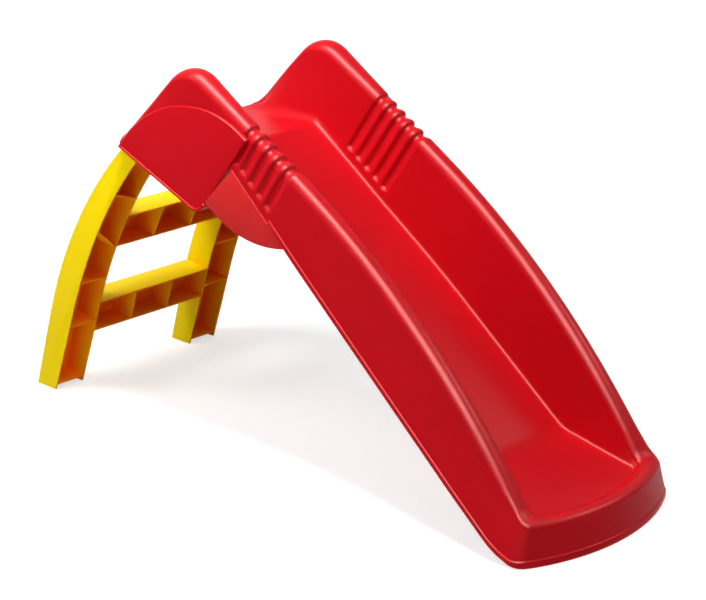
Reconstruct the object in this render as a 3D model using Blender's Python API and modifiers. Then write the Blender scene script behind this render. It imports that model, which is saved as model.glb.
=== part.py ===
"""Toddler slide with a folding ladder: one red moulded slide body on one yellow webbed ladder.

Metres, +Z up, +X down the slide. Sizes are given in the foot frame: x = 0 at the front
corner of the ladder's feet, y = 0 in the middle plane, z = 0 on the floor. The empty
slide_frame then moves everything so that the origin is under the middle of the slide.
"""

import math

import bmesh
import bpy
import numpy as np
from mathutils import Matrix, Vector

# Walls and clearances
WALL = 0.0035
WEB = 0.0030
GAP = 0.0003
CUT_PAST = 0.030

# Overall width; the widths below are worked out from it
HALF_WIDTH = 0.2012

# Slide body seen from the side
REAR_X = 0.188
PLATFORM_Z = 0.512
CREASE_X = 0.370
CREASE_RADIUS = 0.014
ARCH_X = 0.660
ARCH_Z = 0.305
ARCH_RADIUS = 2.5
RUNOUT_X = 0.925
RUNOUT_Z = 0.0875
RUNOUT_RADIUS = 0.070
RUNOUT_END_Z = 0.052
WING_SLOPE = math.radians(43.75)
WING_FOOT_Z = 0.512
RIDGE_SLOPE = math.radians(32.05)
PEAK_X = 0.352
PEAK_RADIUS = 0.064
RIDGE_BEND_X = 0.8875
RIDGE_BEND_RADIUS = 1.50
DROP_SLOPE = math.radians(54.27)
DROP_RADIUS = 0.040
LIP_Z = 0.068
SKIRT_TOP_X = 0.468
SKIRT_TOP_Z = 0.505
SKIRT_BEND_X = 0.620
SKIRT_BEND_Z = 0.3705
SKIRT_FOOT_X = 1.0606
SKIRT_RADIUS = 0.140
FLANGE_Z = 0.4955
REAR_SWEEP = 0.0170
SWEEP_LENGTH = 0.100
FLANGE_LAP = 0.0006

# Slide body across
PANEL_RIM_RISE = 0.0022
REAR_WALL_INSET = 0.0015
SWEEP_INSET = 0.0510
FLANGE_INSET = 0.0030
RIDGE_INSET = 0.0462
FLOOR_INSET = 0.0390
RUNOUT_INSET = 0.0250
WALL_LEAN = 0.0290
WALL_FLARE = 0.0110
WALL_FLARE_END_X = 0.950
FLOOR_FILLET = 0.008
SADDLE_FILLET = 0.026
RIDGE_HALF_WIDTH = 0.0190
WING_SPREAD = 0.0095
WING_SPREAD_END_X = 0.550
WING_SHIFT_END_X = 0.290
SADDLE_FAN_X = 0.275
SADDLE_SHARES = (0.0, 0.10, 0.30, 0.55, 0.80)
BAND = 0.0095
FRONT_BAND = 0.0130
BAND_STEP = 0.0022
BAND_START = 0.003
SADDLE_BAND = 0.004
OUTER_SHOULDER = 0.012

# Front of the run-out in plan
FRONT_X = 1.141
FRONT_RADIUS = 0.390
FRONT_CORNER_RADIUS = 0.028
LIP_WIDTH = 0.046
LIP_CORNER_RADIUS = 0.018
LIP_CREST_SHARE = 0.455
LIP_BROADEN = 0.195

# Ribs over the side walls
RIB_COUNT = 5
RIB_PITCH = 0.0243
RIB_DEPTH = 0.0052
RIB_RISE = 0.26
RIB_RIDGE_X = 0.484
RIB_FLOOR_X = 0.430
RIB_END_CLEAR = 0.012
RIB_FOOT_SHARE = 0.6

# Pocket panels that cover the hinge
PANEL_LEDGE = 0.0280
PANEL_HOLLOW = 0.0490
PANEL_DRAFT = 0.109
PANEL_ARCH_X = 0.380
PANEL_ARCH_Z = 0.386
PANEL_ARCH_RADIUS = 0.2100
PANEL_ARCH_FALL = 0.0040
PANEL_EDGE_ROUND = 0.0035
PANEL_LOW_X = 0.396
PANEL_LOW_Z = 0.4215
PANEL_REAR_X = 0.2030
PANEL_REAR_Z = 0.5010
PANEL_CORNER_RADIUS = 0.024
PANEL_FRONT_ANGLE = math.radians(55.7)
PANEL_RIM = 0.0075
PANEL_OPEN_DROP = 0.040

# Ladder seen from the side
RAIL_FOOT_DEPTH = 0.052
RAIL_SWELL = 0.0095
RAIL_LEAN = math.radians(16.8)
RAIL_STRAIGHT_Z = 0.149
RAIL_RADIUS = 0.805
LADDER_TOP_Z = PLATFORM_Z - WALL - GAP
PULL_TILT = math.radians(6.0)
RAIL_INSET = 0.0012
RAIL_TOP_CLEAR = 0.0085
RAIL_WIDTH = 0.0660
RAIL_TOP_WIDTH = 0.0620
LOW_TREAD = (0.113, 0.175)
HIGH_TREAD = (0.291, 0.356)
TOP_MEMBER_Z = 0.466
FOOT_WEB_Z = 0.016
RAIL_WEBS = ((0.137, 0.137), (0.228, 0.228), (0.290, 0.335), (0.392, 0.412))
RING_PITCH = 0.025

# Fold hinge
HINGE_X = 0.375
HINGE_Z = 0.468
AXLE_RADIUS = 0.0060
AXLE_WALL = 0.0012
CAP_RADIUS = 0.0080
CAP_LENGTH = 0.0080
CAP_TOP = 0.0020
CAP_ROUND = 0.0008
RUNNING = 0.0003
HUB_RADIUS = 0.0160
HUB_CLEAR = 0.0085
CHEEK_CLEAR = 0.0230
CHEEK_WIDTH = 0.0190
CHEEK_RADIUS = 0.112
CHEEK_FRONT_ANGLE = math.radians(72.0)
CHEEK_REAR_ANGLE = math.radians(165.0)
CRADLE_INSET = 0.0040
CRADLE_WALL = 0.0060
CRADLE_RADIUS = 0.0125
CRADLE_SPREAD = 0.022
BOSS_DEPTH = 0.0070
MOUTH = 0.88

# Hinge guards and their screws
GUARD_TOP_X = 0.4735
GUARD_TOP_Z = 0.5050
GUARD_LENGTH = 0.1615
GUARD_LEFT = 0.0835
GUARD_INSET = 0.0045
GUARD_WALL = 0.0028
GUARD_ARC_RADIUS = 0.2120
GUARD_STAND = 0.0156
GUARD_STRIP_INSET = 0.012
GUARD_STRIP_END = 0.028
GUARD_STRIP_DROP = 0.0055
GUARD_UPSTAND = 0.024
SCREW_PLACES = (0.0420, 0.1220)
SCREW_HEIGHT = 0.014
SCREW_RADIUS = 0.0016
SCREW_HEAD_RADIUS = 0.0034
SCREW_HEAD = 0.0022
SCREW_LENGTH = 0.0065
SCREW_BOSS_RADIUS = 0.0046
SCREW_BOSS_INSET = 0.0045
HOLE_PAST = 0.004

RED = (0.550, 0.008, 0.012, 1.0)
RED_GUARD = (0.570, 0.012, 0.014, 1.0)
YELLOW = (0.960, 0.700, 0.002, 1.0)
STEEL = (0.560, 0.570, 0.580, 1.0)
GREY = (0.060, 0.060, 0.065, 1.0)

# Widths from the middle plane
PANEL_HALF = HALF_WIDTH - PANEL_RIM_RISE
PANEL_ROOT_HALF = PANEL_HALF - PANEL_LEDGE
PANEL_DEEP_HALF = PANEL_HALF - PANEL_HOLLOW
WALL_REAR_HALF = PANEL_HALF - REAR_WALL_INSET
SWEEP_HALF = PANEL_HALF - SWEEP_INSET
FLANGE_HALF = SWEEP_HALF - FLANGE_INSET
RIDGE_HALF_GAUGE = HALF_WIDTH - RIDGE_INSET
FLOOR_HALF = RIDGE_HALF_GAUGE - FLOOR_INSET
RUNOUT_HALF = RIDGE_HALF_GAUGE - RUNOUT_INSET
WALL_FOOT_HALF = RIDGE_HALF_GAUGE + WALL_LEAN
WALL_FRONT_HALF = WALL_FOOT_HALF + WALL_FLARE
RAIL_HALF = HALF_WIDTH - RAIL_INSET
RAIL_TOP_HALF = PANEL_HALF - RAIL_TOP_CLEAR
RAIL_INNER_HALF = RAIL_HALF - RAIL_WIDTH
RAIL_INNER_TOP_HALF = RAIL_TOP_HALF - RAIL_TOP_WIDTH
TREAD_DIVIDER_HALF = RAIL_INNER_HALF / 3.0
CHEEK_OUTER_HALF = PANEL_HALF - CHEEK_CLEAR
CHEEK_INNER_HALF = CHEEK_OUTER_HALF - CHEEK_WIDTH
CRADLE_HALF = FLOOR_HALF - CRADLE_INSET
HUB_INNER_HALF = CRADLE_HALF + 0.5 * CRADLE_WALL + HUB_CLEAR
GUARD_HALF = PANEL_HALF - GUARD_INSET
GUARD_INNER_HALF = WALL_FOOT_HALF - GUARD_STAND
SCREW_BOSS_HALF = WALL_FOOT_HALF - SCREW_BOSS_INSET

CENTRE_X = 0.5 * (FRONT_X - RAIL_FOOT_DEPTH)


def clear_scene():
    """Remove every object that the start-up scene holds."""
    for item in list(bpy.data.objects):
        bpy.data.objects.remove(item, do_unlink=True)


def make_collection(name):
    """Return a new collection linked to the scene."""
    collection = bpy.data.collections.new(name)
    bpy.context.scene.collection.children.link(collection)
    return collection


def make_material(name, colour, roughness, metallic):
    """Return a Principled material."""
    material = bpy.data.materials.new(name)
    material.use_nodes = True
    shader = material.node_tree.nodes["Principled BSDF"]
    shader.inputs["Base Color"].default_value = colour
    shader.inputs["Roughness"].default_value = roughness
    shader.inputs["Metallic"].default_value = metallic
    material.diffuse_color = colour
    return material


# Outlines in a plane

def rounded_path(corners, radii, step=math.radians(9.0)):
    """Join corner points with straight runs and round each inner corner by its radius."""
    points = [np.array(corners[0], float)]
    for before, corner, after, radius in zip(corners, corners[1:], corners[2:], radii):
        corner = np.array(corner, float)
        into = corner - np.array(before, float)
        into /= np.linalg.norm(into)
        out = np.array(after, float) - corner
        out /= np.linalg.norm(out)
        turn = math.atan2(into[0] * out[1] - into[1] * out[0], float(np.dot(into, out)))
        reach = radius * math.tan(abs(turn) / 2.0)
        side = np.array((-into[1], into[0])) * math.copysign(1.0, turn)
        start = corner - into * reach
        centre = start + side * radius
        count = max(2, math.ceil(abs(turn) / step))
        for i in range(count + 1):
            angle = turn * i / count
            arm = start - centre
            spun = np.array((arm[0] * math.cos(angle) - arm[1] * math.sin(angle),
                             arm[0] * math.sin(angle) + arm[1] * math.cos(angle)))
            points.append(centre + spun)
    points.append(np.array(corners[-1], float))
    return np.array(points)


def arc(centre, radius, start, end, count):
    """Return points on an arc, angles in radians."""
    angles = np.linspace(start, end, count + 1)
    return [(centre[0] + radius * math.cos(a), centre[1] + radius * math.sin(a)) for a in angles]


class SidePath:
    """A curve in the side view that is read by x or by its length along the curve."""

    def __init__(self, points):
        self.points = points
        runs = np.linalg.norm(np.diff(points, axis=0), axis=1)
        self.length = np.concatenate(([0.0], np.cumsum(runs)))

    def height(self, x):
        return float(np.interp(x, self.points[:, 0], self.points[:, 1]))

    def reach(self, x):
        return float(np.interp(x, self.points[:, 0], self.length))

    def at(self, run):
        return (float(np.interp(run, self.length, self.points[:, 0])),
                float(np.interp(run, self.length, self.points[:, 1])))


# The ridge falls from the peak at one slope and steepens to the drop above the lip
PEAK_Z = WING_FOOT_Z + (PEAK_X - REAR_X) * math.tan(WING_SLOPE)
RIDGE_BEND_Z = PEAK_Z - (RIDGE_BEND_X - PEAK_X) * math.tan(RIDGE_SLOPE)
DROP_X = RIDGE_BEND_X + (RIDGE_BEND_Z - LIP_Z) / math.tan(DROP_SLOPE)
LIP_INNER_X = FRONT_X - LIP_WIDTH

FLOOR = SidePath(rounded_path(
    [(REAR_X, PLATFORM_Z), (CREASE_X, PLATFORM_Z), (ARCH_X, ARCH_Z), (RUNOUT_X, RUNOUT_Z),
     (LIP_INNER_X, RUNOUT_END_Z)],
    [CREASE_RADIUS, ARCH_RADIUS, RUNOUT_RADIUS], math.radians(2.0)))
RIDGE = SidePath(rounded_path(
    [(REAR_X, WING_FOOT_Z), (PEAK_X, PEAK_Z), (RIDGE_BEND_X, RIDGE_BEND_Z), (DROP_X, LIP_Z),
     (FRONT_X, LIP_Z)],
    [PEAK_RADIUS, RIDGE_BEND_RADIUS, DROP_RADIUS], math.radians(2.0)))
SKIRT = SidePath(rounded_path(
    [(SKIRT_TOP_X, SKIRT_TOP_Z), (SKIRT_BEND_X, SKIRT_BEND_Z), (SKIRT_FOOT_X, 0.0), (FRONT_X, 0.0)],
    [2.0, SKIRT_RADIUS], math.radians(2.0)))

# Where the rounding of the peak starts, is highest and ends
PEAK_REACH = PEAK_RADIUS * math.tan(0.5 * (WING_SLOPE + RIDGE_SLOPE))
PEAK_START_X = PEAK_X - PEAK_REACH * math.cos(WING_SLOPE)
PEAK_TOP_X = PEAK_START_X + PEAK_RADIUS * math.sin(WING_SLOPE)
PEAK_END_X = PEAK_TOP_X + PEAK_RADIUS * math.sin(RIDGE_SLOPE)


# The shell of the slide body, lofted from cross-sections

class Station:
    """One cross-section of the half shell: floor edge, ridge and skirt, with the way outwards."""

    def __init__(self, floor, ridge, skirt, out, stretch=1.0, groove=0.0, band=BAND, step=BAND_STEP,
                 fillet=FLOOR_FILLET, spread=0.0, shift=0.0):
        self.floor = Vector(floor)
        self.ridge = Vector(ridge)
        self.skirt = Vector(skirt)
        self.out = Vector(out)
        self.up = self.ridge - self.floor
        self.up -= self.out * self.up.dot(self.out)
        self.height = self.up.length
        self.up.normalize()
        self.stretch = stretch
        self.groove = groove
        self.band = band
        self.step = step
        self.fillet = fillet
        self.spread = spread
        self.shift = shift

    def columns(self):
        """Points from the floor's middle line over the ridge to the foot of the skirt."""
        half = RIDGE_HALF_WIDTH * self.stretch + self.spread
        inner_rise = min(RIDGE_HALF_WIDTH, 0.62 * self.height)
        outer_rise = max(inner_rise, OUTER_SHOULDER)
        crest = self.ridge + self.out * self.shift
        inner_top = crest - self.up * inner_rise - self.out * half
        outer_top = crest - self.up * outer_rise + self.out * half
        wall = inner_top - self.floor
        fillet = min(self.fillet, 0.45 * wall.length)
        start = self.floor - self.out * fillet
        landing = self.floor + wall.normalized() * fillet
        points = []
        for t in (0.0, 0.35, 0.70, 1.0):
            points.append((start * (1 - t) ** 2 + self.floor * (2 * t * (1 - t)) + landing * t * t, None))
        clear = min(RIB_END_CLEAR, 0.5 * (inner_top - landing).length)
        inward = self.out
        points.append((landing + wall.normalized() * clear, inward))
        points.append((inner_top, inward))
        for degrees in (150, 120, 90, 60, 30):
            angle = math.radians(degrees)
            rise = inner_rise if degrees > 90 else outer_rise
            normal = self.out * math.cos(angle) + self.up * math.sin(angle)
            drop = rise * (1.0 - math.sin(angle))
            points.append((crest + self.out * half * math.cos(angle) - self.up * drop, -normal))
        band_top = self.skirt + self.up * self.band - self.out * self.step
        points.append((outer_top, -self.out))
        low = 0.9 if (band_top - outer_top).length > 0.04 else 0.7
        points.append((outer_top.lerp(band_top, 0.5 * low), -self.out))
        points.append((outer_top.lerp(band_top, low), -self.out * RIB_FOOT_SHARE))
        points.append((band_top, None))
        ledge_drop = 0.3 * self.step if self.step else 0.5 * self.band
        points.append((band_top + self.out * self.step - self.up * ledge_drop, None))
        points.append((self.skirt, None))
        shaped = []
        for place, direction in points:
            if direction is not None:
                place = place + direction * self.groove
            shaped.append(place)
        shaped.insert(0, Vector((shaped[0].x, 0.0, shaped[0].z)))
        return shaped


def rib_depth(phase):
    """Depth of one groove: a quick fall on its upper side, then a slow rise."""
    if phase < RIB_RISE:
        return RIB_DEPTH * math.sin(0.5 * math.pi * phase / RIB_RISE) ** 2
    return RIB_DEPTH * math.cos(0.5 * math.pi * (phase - RIB_RISE) / (1.0 - RIB_RISE)) ** 2


def side_station(floor_x, ridge_x, skirt, floor_half, wall_half, step=0.0, **options):
    """A cross-section on the straight sides, given in the side view."""
    return Station((floor_x, floor_half, FLOOR.height(floor_x)),
                   (ridge_x, RIDGE_HALF_GAUGE, max(RIDGE.height(ridge_x), FLOOR.height(floor_x) + 0.004)),
                   (skirt[0], wall_half + step, skirt[1]), (0.0, 1.0, 0.0), step=step, **options)


def ease(x, end):
    """One at the rear edge, falling smoothly to nothing at the given end."""
    t = min(1.0, max(0.0, (end - x) / (end - REAR_X)))
    return t * t * (3.0 - 2.0 * t)


def saddle_stations():
    """Sections of the platform and its wings, from the rear edge to the first rib."""
    stations = []
    rate = (RIB_RIDGE_X - SADDLE_FAN_X) / (RIB_FLOOR_X - SADDLE_FAN_X)
    creases = [SADDLE_FAN_X + (CREASE_X + side * 0.5 * CREASE_RADIUS - SADDLE_FAN_X) * rate for side in (-1.0, 1.0)]
    ridge_places = [REAR_X + (PEAK_START_X - REAR_X) * share for share in SADDLE_SHARES]
    ridge_places += list(np.linspace(PEAK_START_X, PEAK_TOP_X, 4))
    ridge_places += list(np.linspace(PEAK_TOP_X, creases[0], 4)[1:-1])
    ridge_places += list(np.linspace(creases[0], creases[1], 2))
    ridge_places += list(np.linspace(creases[1], RIB_RIDGE_X, 3)[1:])
    for ridge_x in ridge_places:
        floor_x = ridge_x if ridge_x < SADDLE_FAN_X else SADDLE_FAN_X + (ridge_x - SADDLE_FAN_X) / rate
        share = (ridge_x - REAR_X) / (RIB_RIDGE_X - REAR_X)
        skirt_x = REAR_X + share * (SKIRT_TOP_X - REAR_X)
        wall_half = WALL_REAR_HALF + (WALL_FOOT_HALF - WALL_REAR_HALF) * min(1.0, share * 1.1)
        stations.append(side_station(floor_x, ridge_x, (skirt_x, FLANGE_Z + share * (SKIRT_TOP_Z - FLANGE_Z)),
                                     FLOOR_HALF, wall_half, band=SADDLE_BAND,
                                     spread=WING_SPREAD * ease(ridge_x, WING_SPREAD_END_X),
                                     shift=WING_SPREAD * ease(ridge_x, WING_SHIFT_END_X),
                                     fillet=SADDLE_FILLET + (FLOOR_FILLET - SADDLE_FILLET) * share ** 2))
    return stations


def rib_stations():
    """Sections across the grooves, spaced evenly along floor, ridge and skirt."""
    stations = []
    ridge_run = RIDGE.reach(RIB_RIDGE_X)
    floor_run = FLOOR.reach(RIB_FLOOR_X)
    skirt_run = SKIRT.reach(SKIRT_TOP_X)
    for rib in range(RIB_COUNT):
        for phase in (0.13, 0.26, 0.48, 0.74, 1.0):
            run = RIB_PITCH * (rib + phase)
            floor_x, _ = FLOOR.at(floor_run + run)
            ridge_x, _ = RIDGE.at(ridge_run + run)
            stations.append(side_station(floor_x, ridge_x, SKIRT.at(skirt_run + run), FLOOR_HALF, WALL_FOOT_HALF,
                                         groove=rib_depth(phase), spread=WING_SPREAD * ease(ridge_x, WING_SPREAD_END_X)))
    return stations


def foot_half(x):
    """Half width at the foot of the walls: even over the grooves, then flaring towards the front."""
    start = SKIRT.at(SKIRT.reach(SKIRT_TOP_X) + RIB_PITCH * RIB_COUNT)[0]
    return WALL_FOOT_HALF + WALL_FLARE * min(1.0, max(0.0, (x - start) / (WALL_FLARE_END_X - start)))


def chute_stations():
    """Plain sections from the last rib to the corner of the run-out."""
    keys = []
    for run in (RIB_PITCH * RIB_COUNT, RIB_PITCH * RIB_COUNT + BAND_START):
        keys.append((FLOOR.at(FLOOR.reach(RIB_FLOOR_X) + run)[0], RIDGE.at(RIDGE.reach(RIB_RIDGE_X) + run)[0],
                     SKIRT.at(SKIRT.reach(SKIRT_TOP_X) + run)[0], FLOOR_HALF))
    keys += [(RUNOUT_X - 0.026, RUNOUT_X + 0.030, RUNOUT_X - 0.005, RUNOUT_HALF - 0.004),
             (RUNOUT_X + 0.020, RUNOUT_X + 0.060, RUNOUT_X + 0.040, RUNOUT_HALF - 0.001),
             (FRONT_X - 0.102, FRONT_X - 0.098, FRONT_X - 0.090, RUNOUT_HALF)]
    stations = []
    for start, end, parts in zip(keys, keys[1:], (1, 7, 2, 3)):
        for i in range(1, parts + 1):
            t = i / parts
            floor_x, ridge_x, skirt_x, half = (a + (b - a) * t for a, b in zip(start, end))
            stations.append(side_station(floor_x, ridge_x, (skirt_x, SKIRT.height(skirt_x)), half,
                                         foot_half(skirt_x), step=BAND_STEP,
                                         spread=WING_SPREAD * ease(ridge_x, WING_SPREAD_END_X)))
    return stations


def front_plan(front_x, main_radius, half, corner_radius, corner_parts, front_parts):
    """Plan points round one front corner and along the bowed front to the middle line."""
    centre_x = front_x - main_radius
    inset = half - corner_radius
    corner_x = centre_x + math.sqrt((main_radius - corner_radius) ** 2 - inset ** 2)
    meet = math.atan2(inset, corner_x - centre_x)
    points = arc((corner_x, inset), corner_radius, math.pi / 2, meet, corner_parts)
    return points + arc((centre_x, 0.0), main_radius, meet, 0.0, front_parts)[1:]


def front_stations():
    """Sections round the corner and across the front lip, to the middle line."""
    skirt_half = WALL_FRONT_HALF + BAND_STEP
    inner = front_plan(LIP_INNER_X, FRONT_RADIUS - LIP_WIDTH, RUNOUT_HALF, LIP_CORNER_RADIUS, 4, 5)
    outer = front_plan(FRONT_X, FRONT_RADIUS, skirt_half, FRONT_CORNER_RADIUS, 4, 5)
    gauge = (RIDGE_HALF_GAUGE - RUNOUT_HALF) / (skirt_half - RUNOUT_HALF)
    stations = []
    for number, (a, b) in enumerate(zip(inner, outer)):
        out = Vector((b[0] - a[0], b[1] - a[1], 0.0))
        width = out.length
        out.normalize()
        share = min(1.0, number / 4)
        crest_share = gauge + (LIP_CREST_SHARE - gauge) * share
        ridge = Vector((a[0], a[1], 0.0)).lerp(Vector((b[0], b[1], 0.0)), crest_share)
        stations.append(Station((a[0], a[1], FLOOR.height(a[0])), (ridge.x, ridge.y, RIDGE.height(ridge.x)),
                                (b[0], b[1], SKIRT.height(b[0])), out,
                                stretch=width / (skirt_half - RUNOUT_HALF) * (1.0 + LIP_BROADEN * share),
                                band=BAND + (FRONT_BAND - BAND) * share))
    return stations


def shell_rows():
    """All rows of the half shell, from the rear edge to the middle of the front lip."""
    stations = saddle_stations() + rib_stations() + chute_stations() + front_stations()
    rows = [station.columns() for station in stations]
    for row in rows:
        for point in row:
            side = max(0.0, (point.y - SWEEP_HALF) / (PANEL_HALF - SWEEP_HALF))
            point.x += REAR_SWEEP * side ** 1.5 * max(0.0, 1.0 - (point.x - REAR_X) / SWEEP_LENGTH)
    return rows


def mesh_object(name, mesh, collection):
    """Link a new object for a mesh."""
    item = bpy.data.objects.new(name, mesh)
    collection.objects.link(item)
    return item


def loft(name, rows, collection):
    """Skin rows of points, each row as long as the others, with quads."""
    build = bmesh.new()
    grid = [[build.verts.new(point) for point in row] for row in rows]
    for upper, lower in zip(grid, grid[1:]):
        for a, b, c, d in zip(upper, upper[1:], lower[1:], lower):
            build.faces.new((a, b, c, d))
    bmesh.ops.remove_doubles(build, verts=build.verts, dist=0.00005)
    bmesh.ops.recalc_face_normals(build, faces=build.faces)
    upward = sum(face.normal.z * face.calc_area() for face in build.faces)
    if upward < 0.0:
        bmesh.ops.reverse_faces(build, faces=build.faces)
    mesh = bpy.data.meshes.new(name)
    build.to_mesh(mesh)
    build.free()
    return mesh_object(name, mesh, collection)


def settle(item):
    """Replace an object's mesh by what its modifiers make of it."""
    bpy.context.view_layer.update()
    evaluated = item.evaluated_get(bpy.context.evaluated_depsgraph_get())
    mesh = bpy.data.meshes.new_from_object(evaluated)
    item.modifiers.clear()
    old = item.data
    item.data = mesh
    bpy.data.meshes.remove(old)


def weld(mesh):
    """Merge doubled points and point every face outwards."""
    build = bmesh.new()
    build.from_mesh(mesh)
    bmesh.ops.remove_doubles(build, verts=build.verts, dist=0.00005)
    bmesh.ops.recalc_face_normals(build, faces=build.faces)
    build.to_mesh(mesh)
    build.free()


def plate(name, outline, near_y, far_y, collection):
    """A flat outline in the side view, given thickness from near_y to far_y."""
    curve = bpy.data.curves.new(name, "CURVE")
    curve.dimensions = "2D"
    curve.fill_mode = "BOTH"
    curve.extrude = 0.5 * (far_y - near_y)
    spline = curve.splines.new("POLY")
    spline.points.add(len(outline) - 1)
    for point, (x, z) in zip(spline.points, outline):
        point.co = (x, z, 0.0, 1.0)
    spline.use_cyclic_u = True
    holder = bpy.data.objects.new(name + "_outline", curve)
    collection.objects.link(holder)
    bpy.context.view_layer.update()
    evaluated = holder.evaluated_get(bpy.context.evaluated_depsgraph_get())
    mesh = bpy.data.meshes.new_from_object(evaluated)
    mesh.name = name
    bpy.data.objects.remove(holder)
    stand = Matrix.Translation((0.0, 0.5 * (near_y + far_y), 0.0)) @ Matrix.Rotation(math.pi / 2, 4, "X")
    mesh.transform(stand)
    weld(mesh)
    return mesh_object(name, mesh, collection)


def rod(name, centre, radius, near_y, far_y, collection, sides=24):
    """A cylinder along Y in the side view's place."""
    build = bmesh.new()
    turn = Matrix.Translation((centre[0], 0.5 * (near_y + far_y), centre[1])) @ Matrix.Rotation(math.pi / 2, 4, "X")
    bmesh.ops.create_cone(build, cap_ends=True, segments=sides, radius1=radius, radius2=radius,
                          depth=far_y - near_y, matrix=turn)
    mesh = bpy.data.meshes.new(name)
    build.to_mesh(mesh)
    build.free()
    return mesh_object(name, mesh, collection)


def gather(name, items, collection):
    """Join separate objects into one, and remove them."""
    build = bmesh.new()
    for item in items:
        build.from_mesh(item.data)
    mesh = bpy.data.meshes.new(name)
    build.to_mesh(mesh)
    build.free()
    for item in items:
        bpy.data.objects.remove(item)
    return mesh_object(name, mesh, collection)


def mirrored(item, collection):
    """A copy of an object on the other side of the middle plane."""
    mesh = item.data.copy()
    mesh.transform(Matrix.Scale(-1.0, 4, (0.0, 1.0, 0.0)))
    mesh.flip_normals()
    return mesh_object(item.name + "_mirror", mesh, collection)


def both_sides(name, items, collection):
    """Gather pieces of the +Y side with their mirror images."""
    copies = [mirrored(item, collection) for item in items]
    return gather(name, items + copies, collection)


def combine(item, tool, operation):
    """Cut a tool from an object, join it on, or keep what they share."""
    boolean = item.modifiers.new(tool.name, "BOOLEAN")
    boolean.object = tool
    boolean.operation = operation
    boolean.solver = "EXACT"
    boolean.use_self = False
    settle(item)
    tool.hide_render = True
    tool.display_type = "WIRE"


# Panels over the hinge pockets

def panel_height(x, z):
    """Distance of a place in the side view above the lower edge of the panels."""
    run = np.array((PANEL_LOW_X - PANEL_REAR_X, PANEL_LOW_Z - PANEL_REAR_Z))
    run /= np.linalg.norm(run)
    return float((z - PANEL_LOW_Z) * run[0] - (x - PANEL_LOW_X) * run[1])


def panel_ring(half, radius, inset=0.0, drop=0.0, draft=PANEL_DRAFT):
    """Closed outline of a pocket at one distance from the middle plane, in the side view."""
    up = np.array((math.cos(PANEL_FRONT_ANGLE), math.sin(PANEL_FRONT_ANGLE)))
    across = np.array((up[1], -up[0]))
    low = np.array((PANEL_LOW_X, PANEL_LOW_Z)) - across * inset
    arch = np.array((PANEL_ARCH_X, PANEL_ARCH_Z))
    away = low - arch
    along = float(np.dot(away, up))
    top = low + up * (-along + math.sqrt(along ** 2 - float(np.dot(away, away)) + radius ** 2))
    rear = np.array((PANEL_REAR_X + 1.2 * inset, PANEL_REAR_Z - 0.5 * inset))
    back = arch - rear
    distance = float(np.linalg.norm(back))
    lean = math.atan2(back[1], back[0]) + math.asin(radius / distance)
    tangent = rear + np.array((math.cos(lean), math.sin(lean))) * math.sqrt(distance ** 2 - radius ** 2)
    start = math.atan2(top[1] - arch[1], top[0] - arch[0])
    end = math.atan2(tangent[1] - arch[1], tangent[0] - arch[0])
    points = arc(arch, radius, start, end, 16) + [tuple(rear)]
    foot = low - up * drop
    behind = rear - np.array((0.0, drop))
    if drop:
        points += [tuple(behind), tuple(foot)]
    else:
        corner = rounded_path([behind, foot, top], [PANEL_CORNER_RADIUS], math.radians(15.0))
        points += [tuple(p) for p in corner[1:-1]]
    return [Vector((x, half - draft * panel_height(x, z), z)) for x, z in points]


def skin_rings(name, rings, collection):
    """Close a solid through rings that have the same number of points."""
    build = bmesh.new()
    loops = [[build.verts.new(point) for point in ring] for ring in rings]
    for upper, lower in zip(loops, loops[1:]):
        for a, b, c, d in zip(upper, upper[1:] + upper[:1], lower[1:] + lower[:1], lower):
            build.faces.new((a, b, c, d))
    build.faces.new(loops[0])
    build.faces.new(loops[-1])
    bmesh.ops.triangulate(build, faces=build.faces)
    bmesh.ops.recalc_face_normals(build, faces=build.faces)
    mesh = bpy.data.meshes.new(name)
    build.to_mesh(mesh)
    build.free()
    return mesh_object(name, mesh, collection)


def panel_block(collection):
    """The outside of a pocket: a tilted face with a rounded edge, and a ledge that falls to the wing."""
    edge = PANEL_EDGE_ROUND
    rings = [panel_ring(PANEL_ROOT_HALF, PANEL_ARCH_RADIUS - PANEL_ARCH_FALL, draft=0.0),
             panel_ring(PANEL_HALF - edge, PANEL_ARCH_RADIUS),
             panel_ring(PANEL_HALF - 0.3 * edge, PANEL_ARCH_RADIUS - 0.3 * edge),
             panel_ring(PANEL_HALF, PANEL_ARCH_RADIUS - edge)]
    return skin_rings("panel_block", rings, collection)


def panel_bore(collection):
    """The hollow of a pocket, open downwards."""
    radius = PANEL_ARCH_RADIUS - PANEL_ARCH_FALL - WALL
    rings = [panel_ring(PANEL_DEEP_HALF, radius, inset=WALL, drop=PANEL_OPEN_DROP, draft=0.0),
             panel_ring(PANEL_HALF - WALL, radius, inset=WALL, drop=PANEL_OPEN_DROP)]
    return skin_rings("panel_bore", rings, collection)


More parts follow.
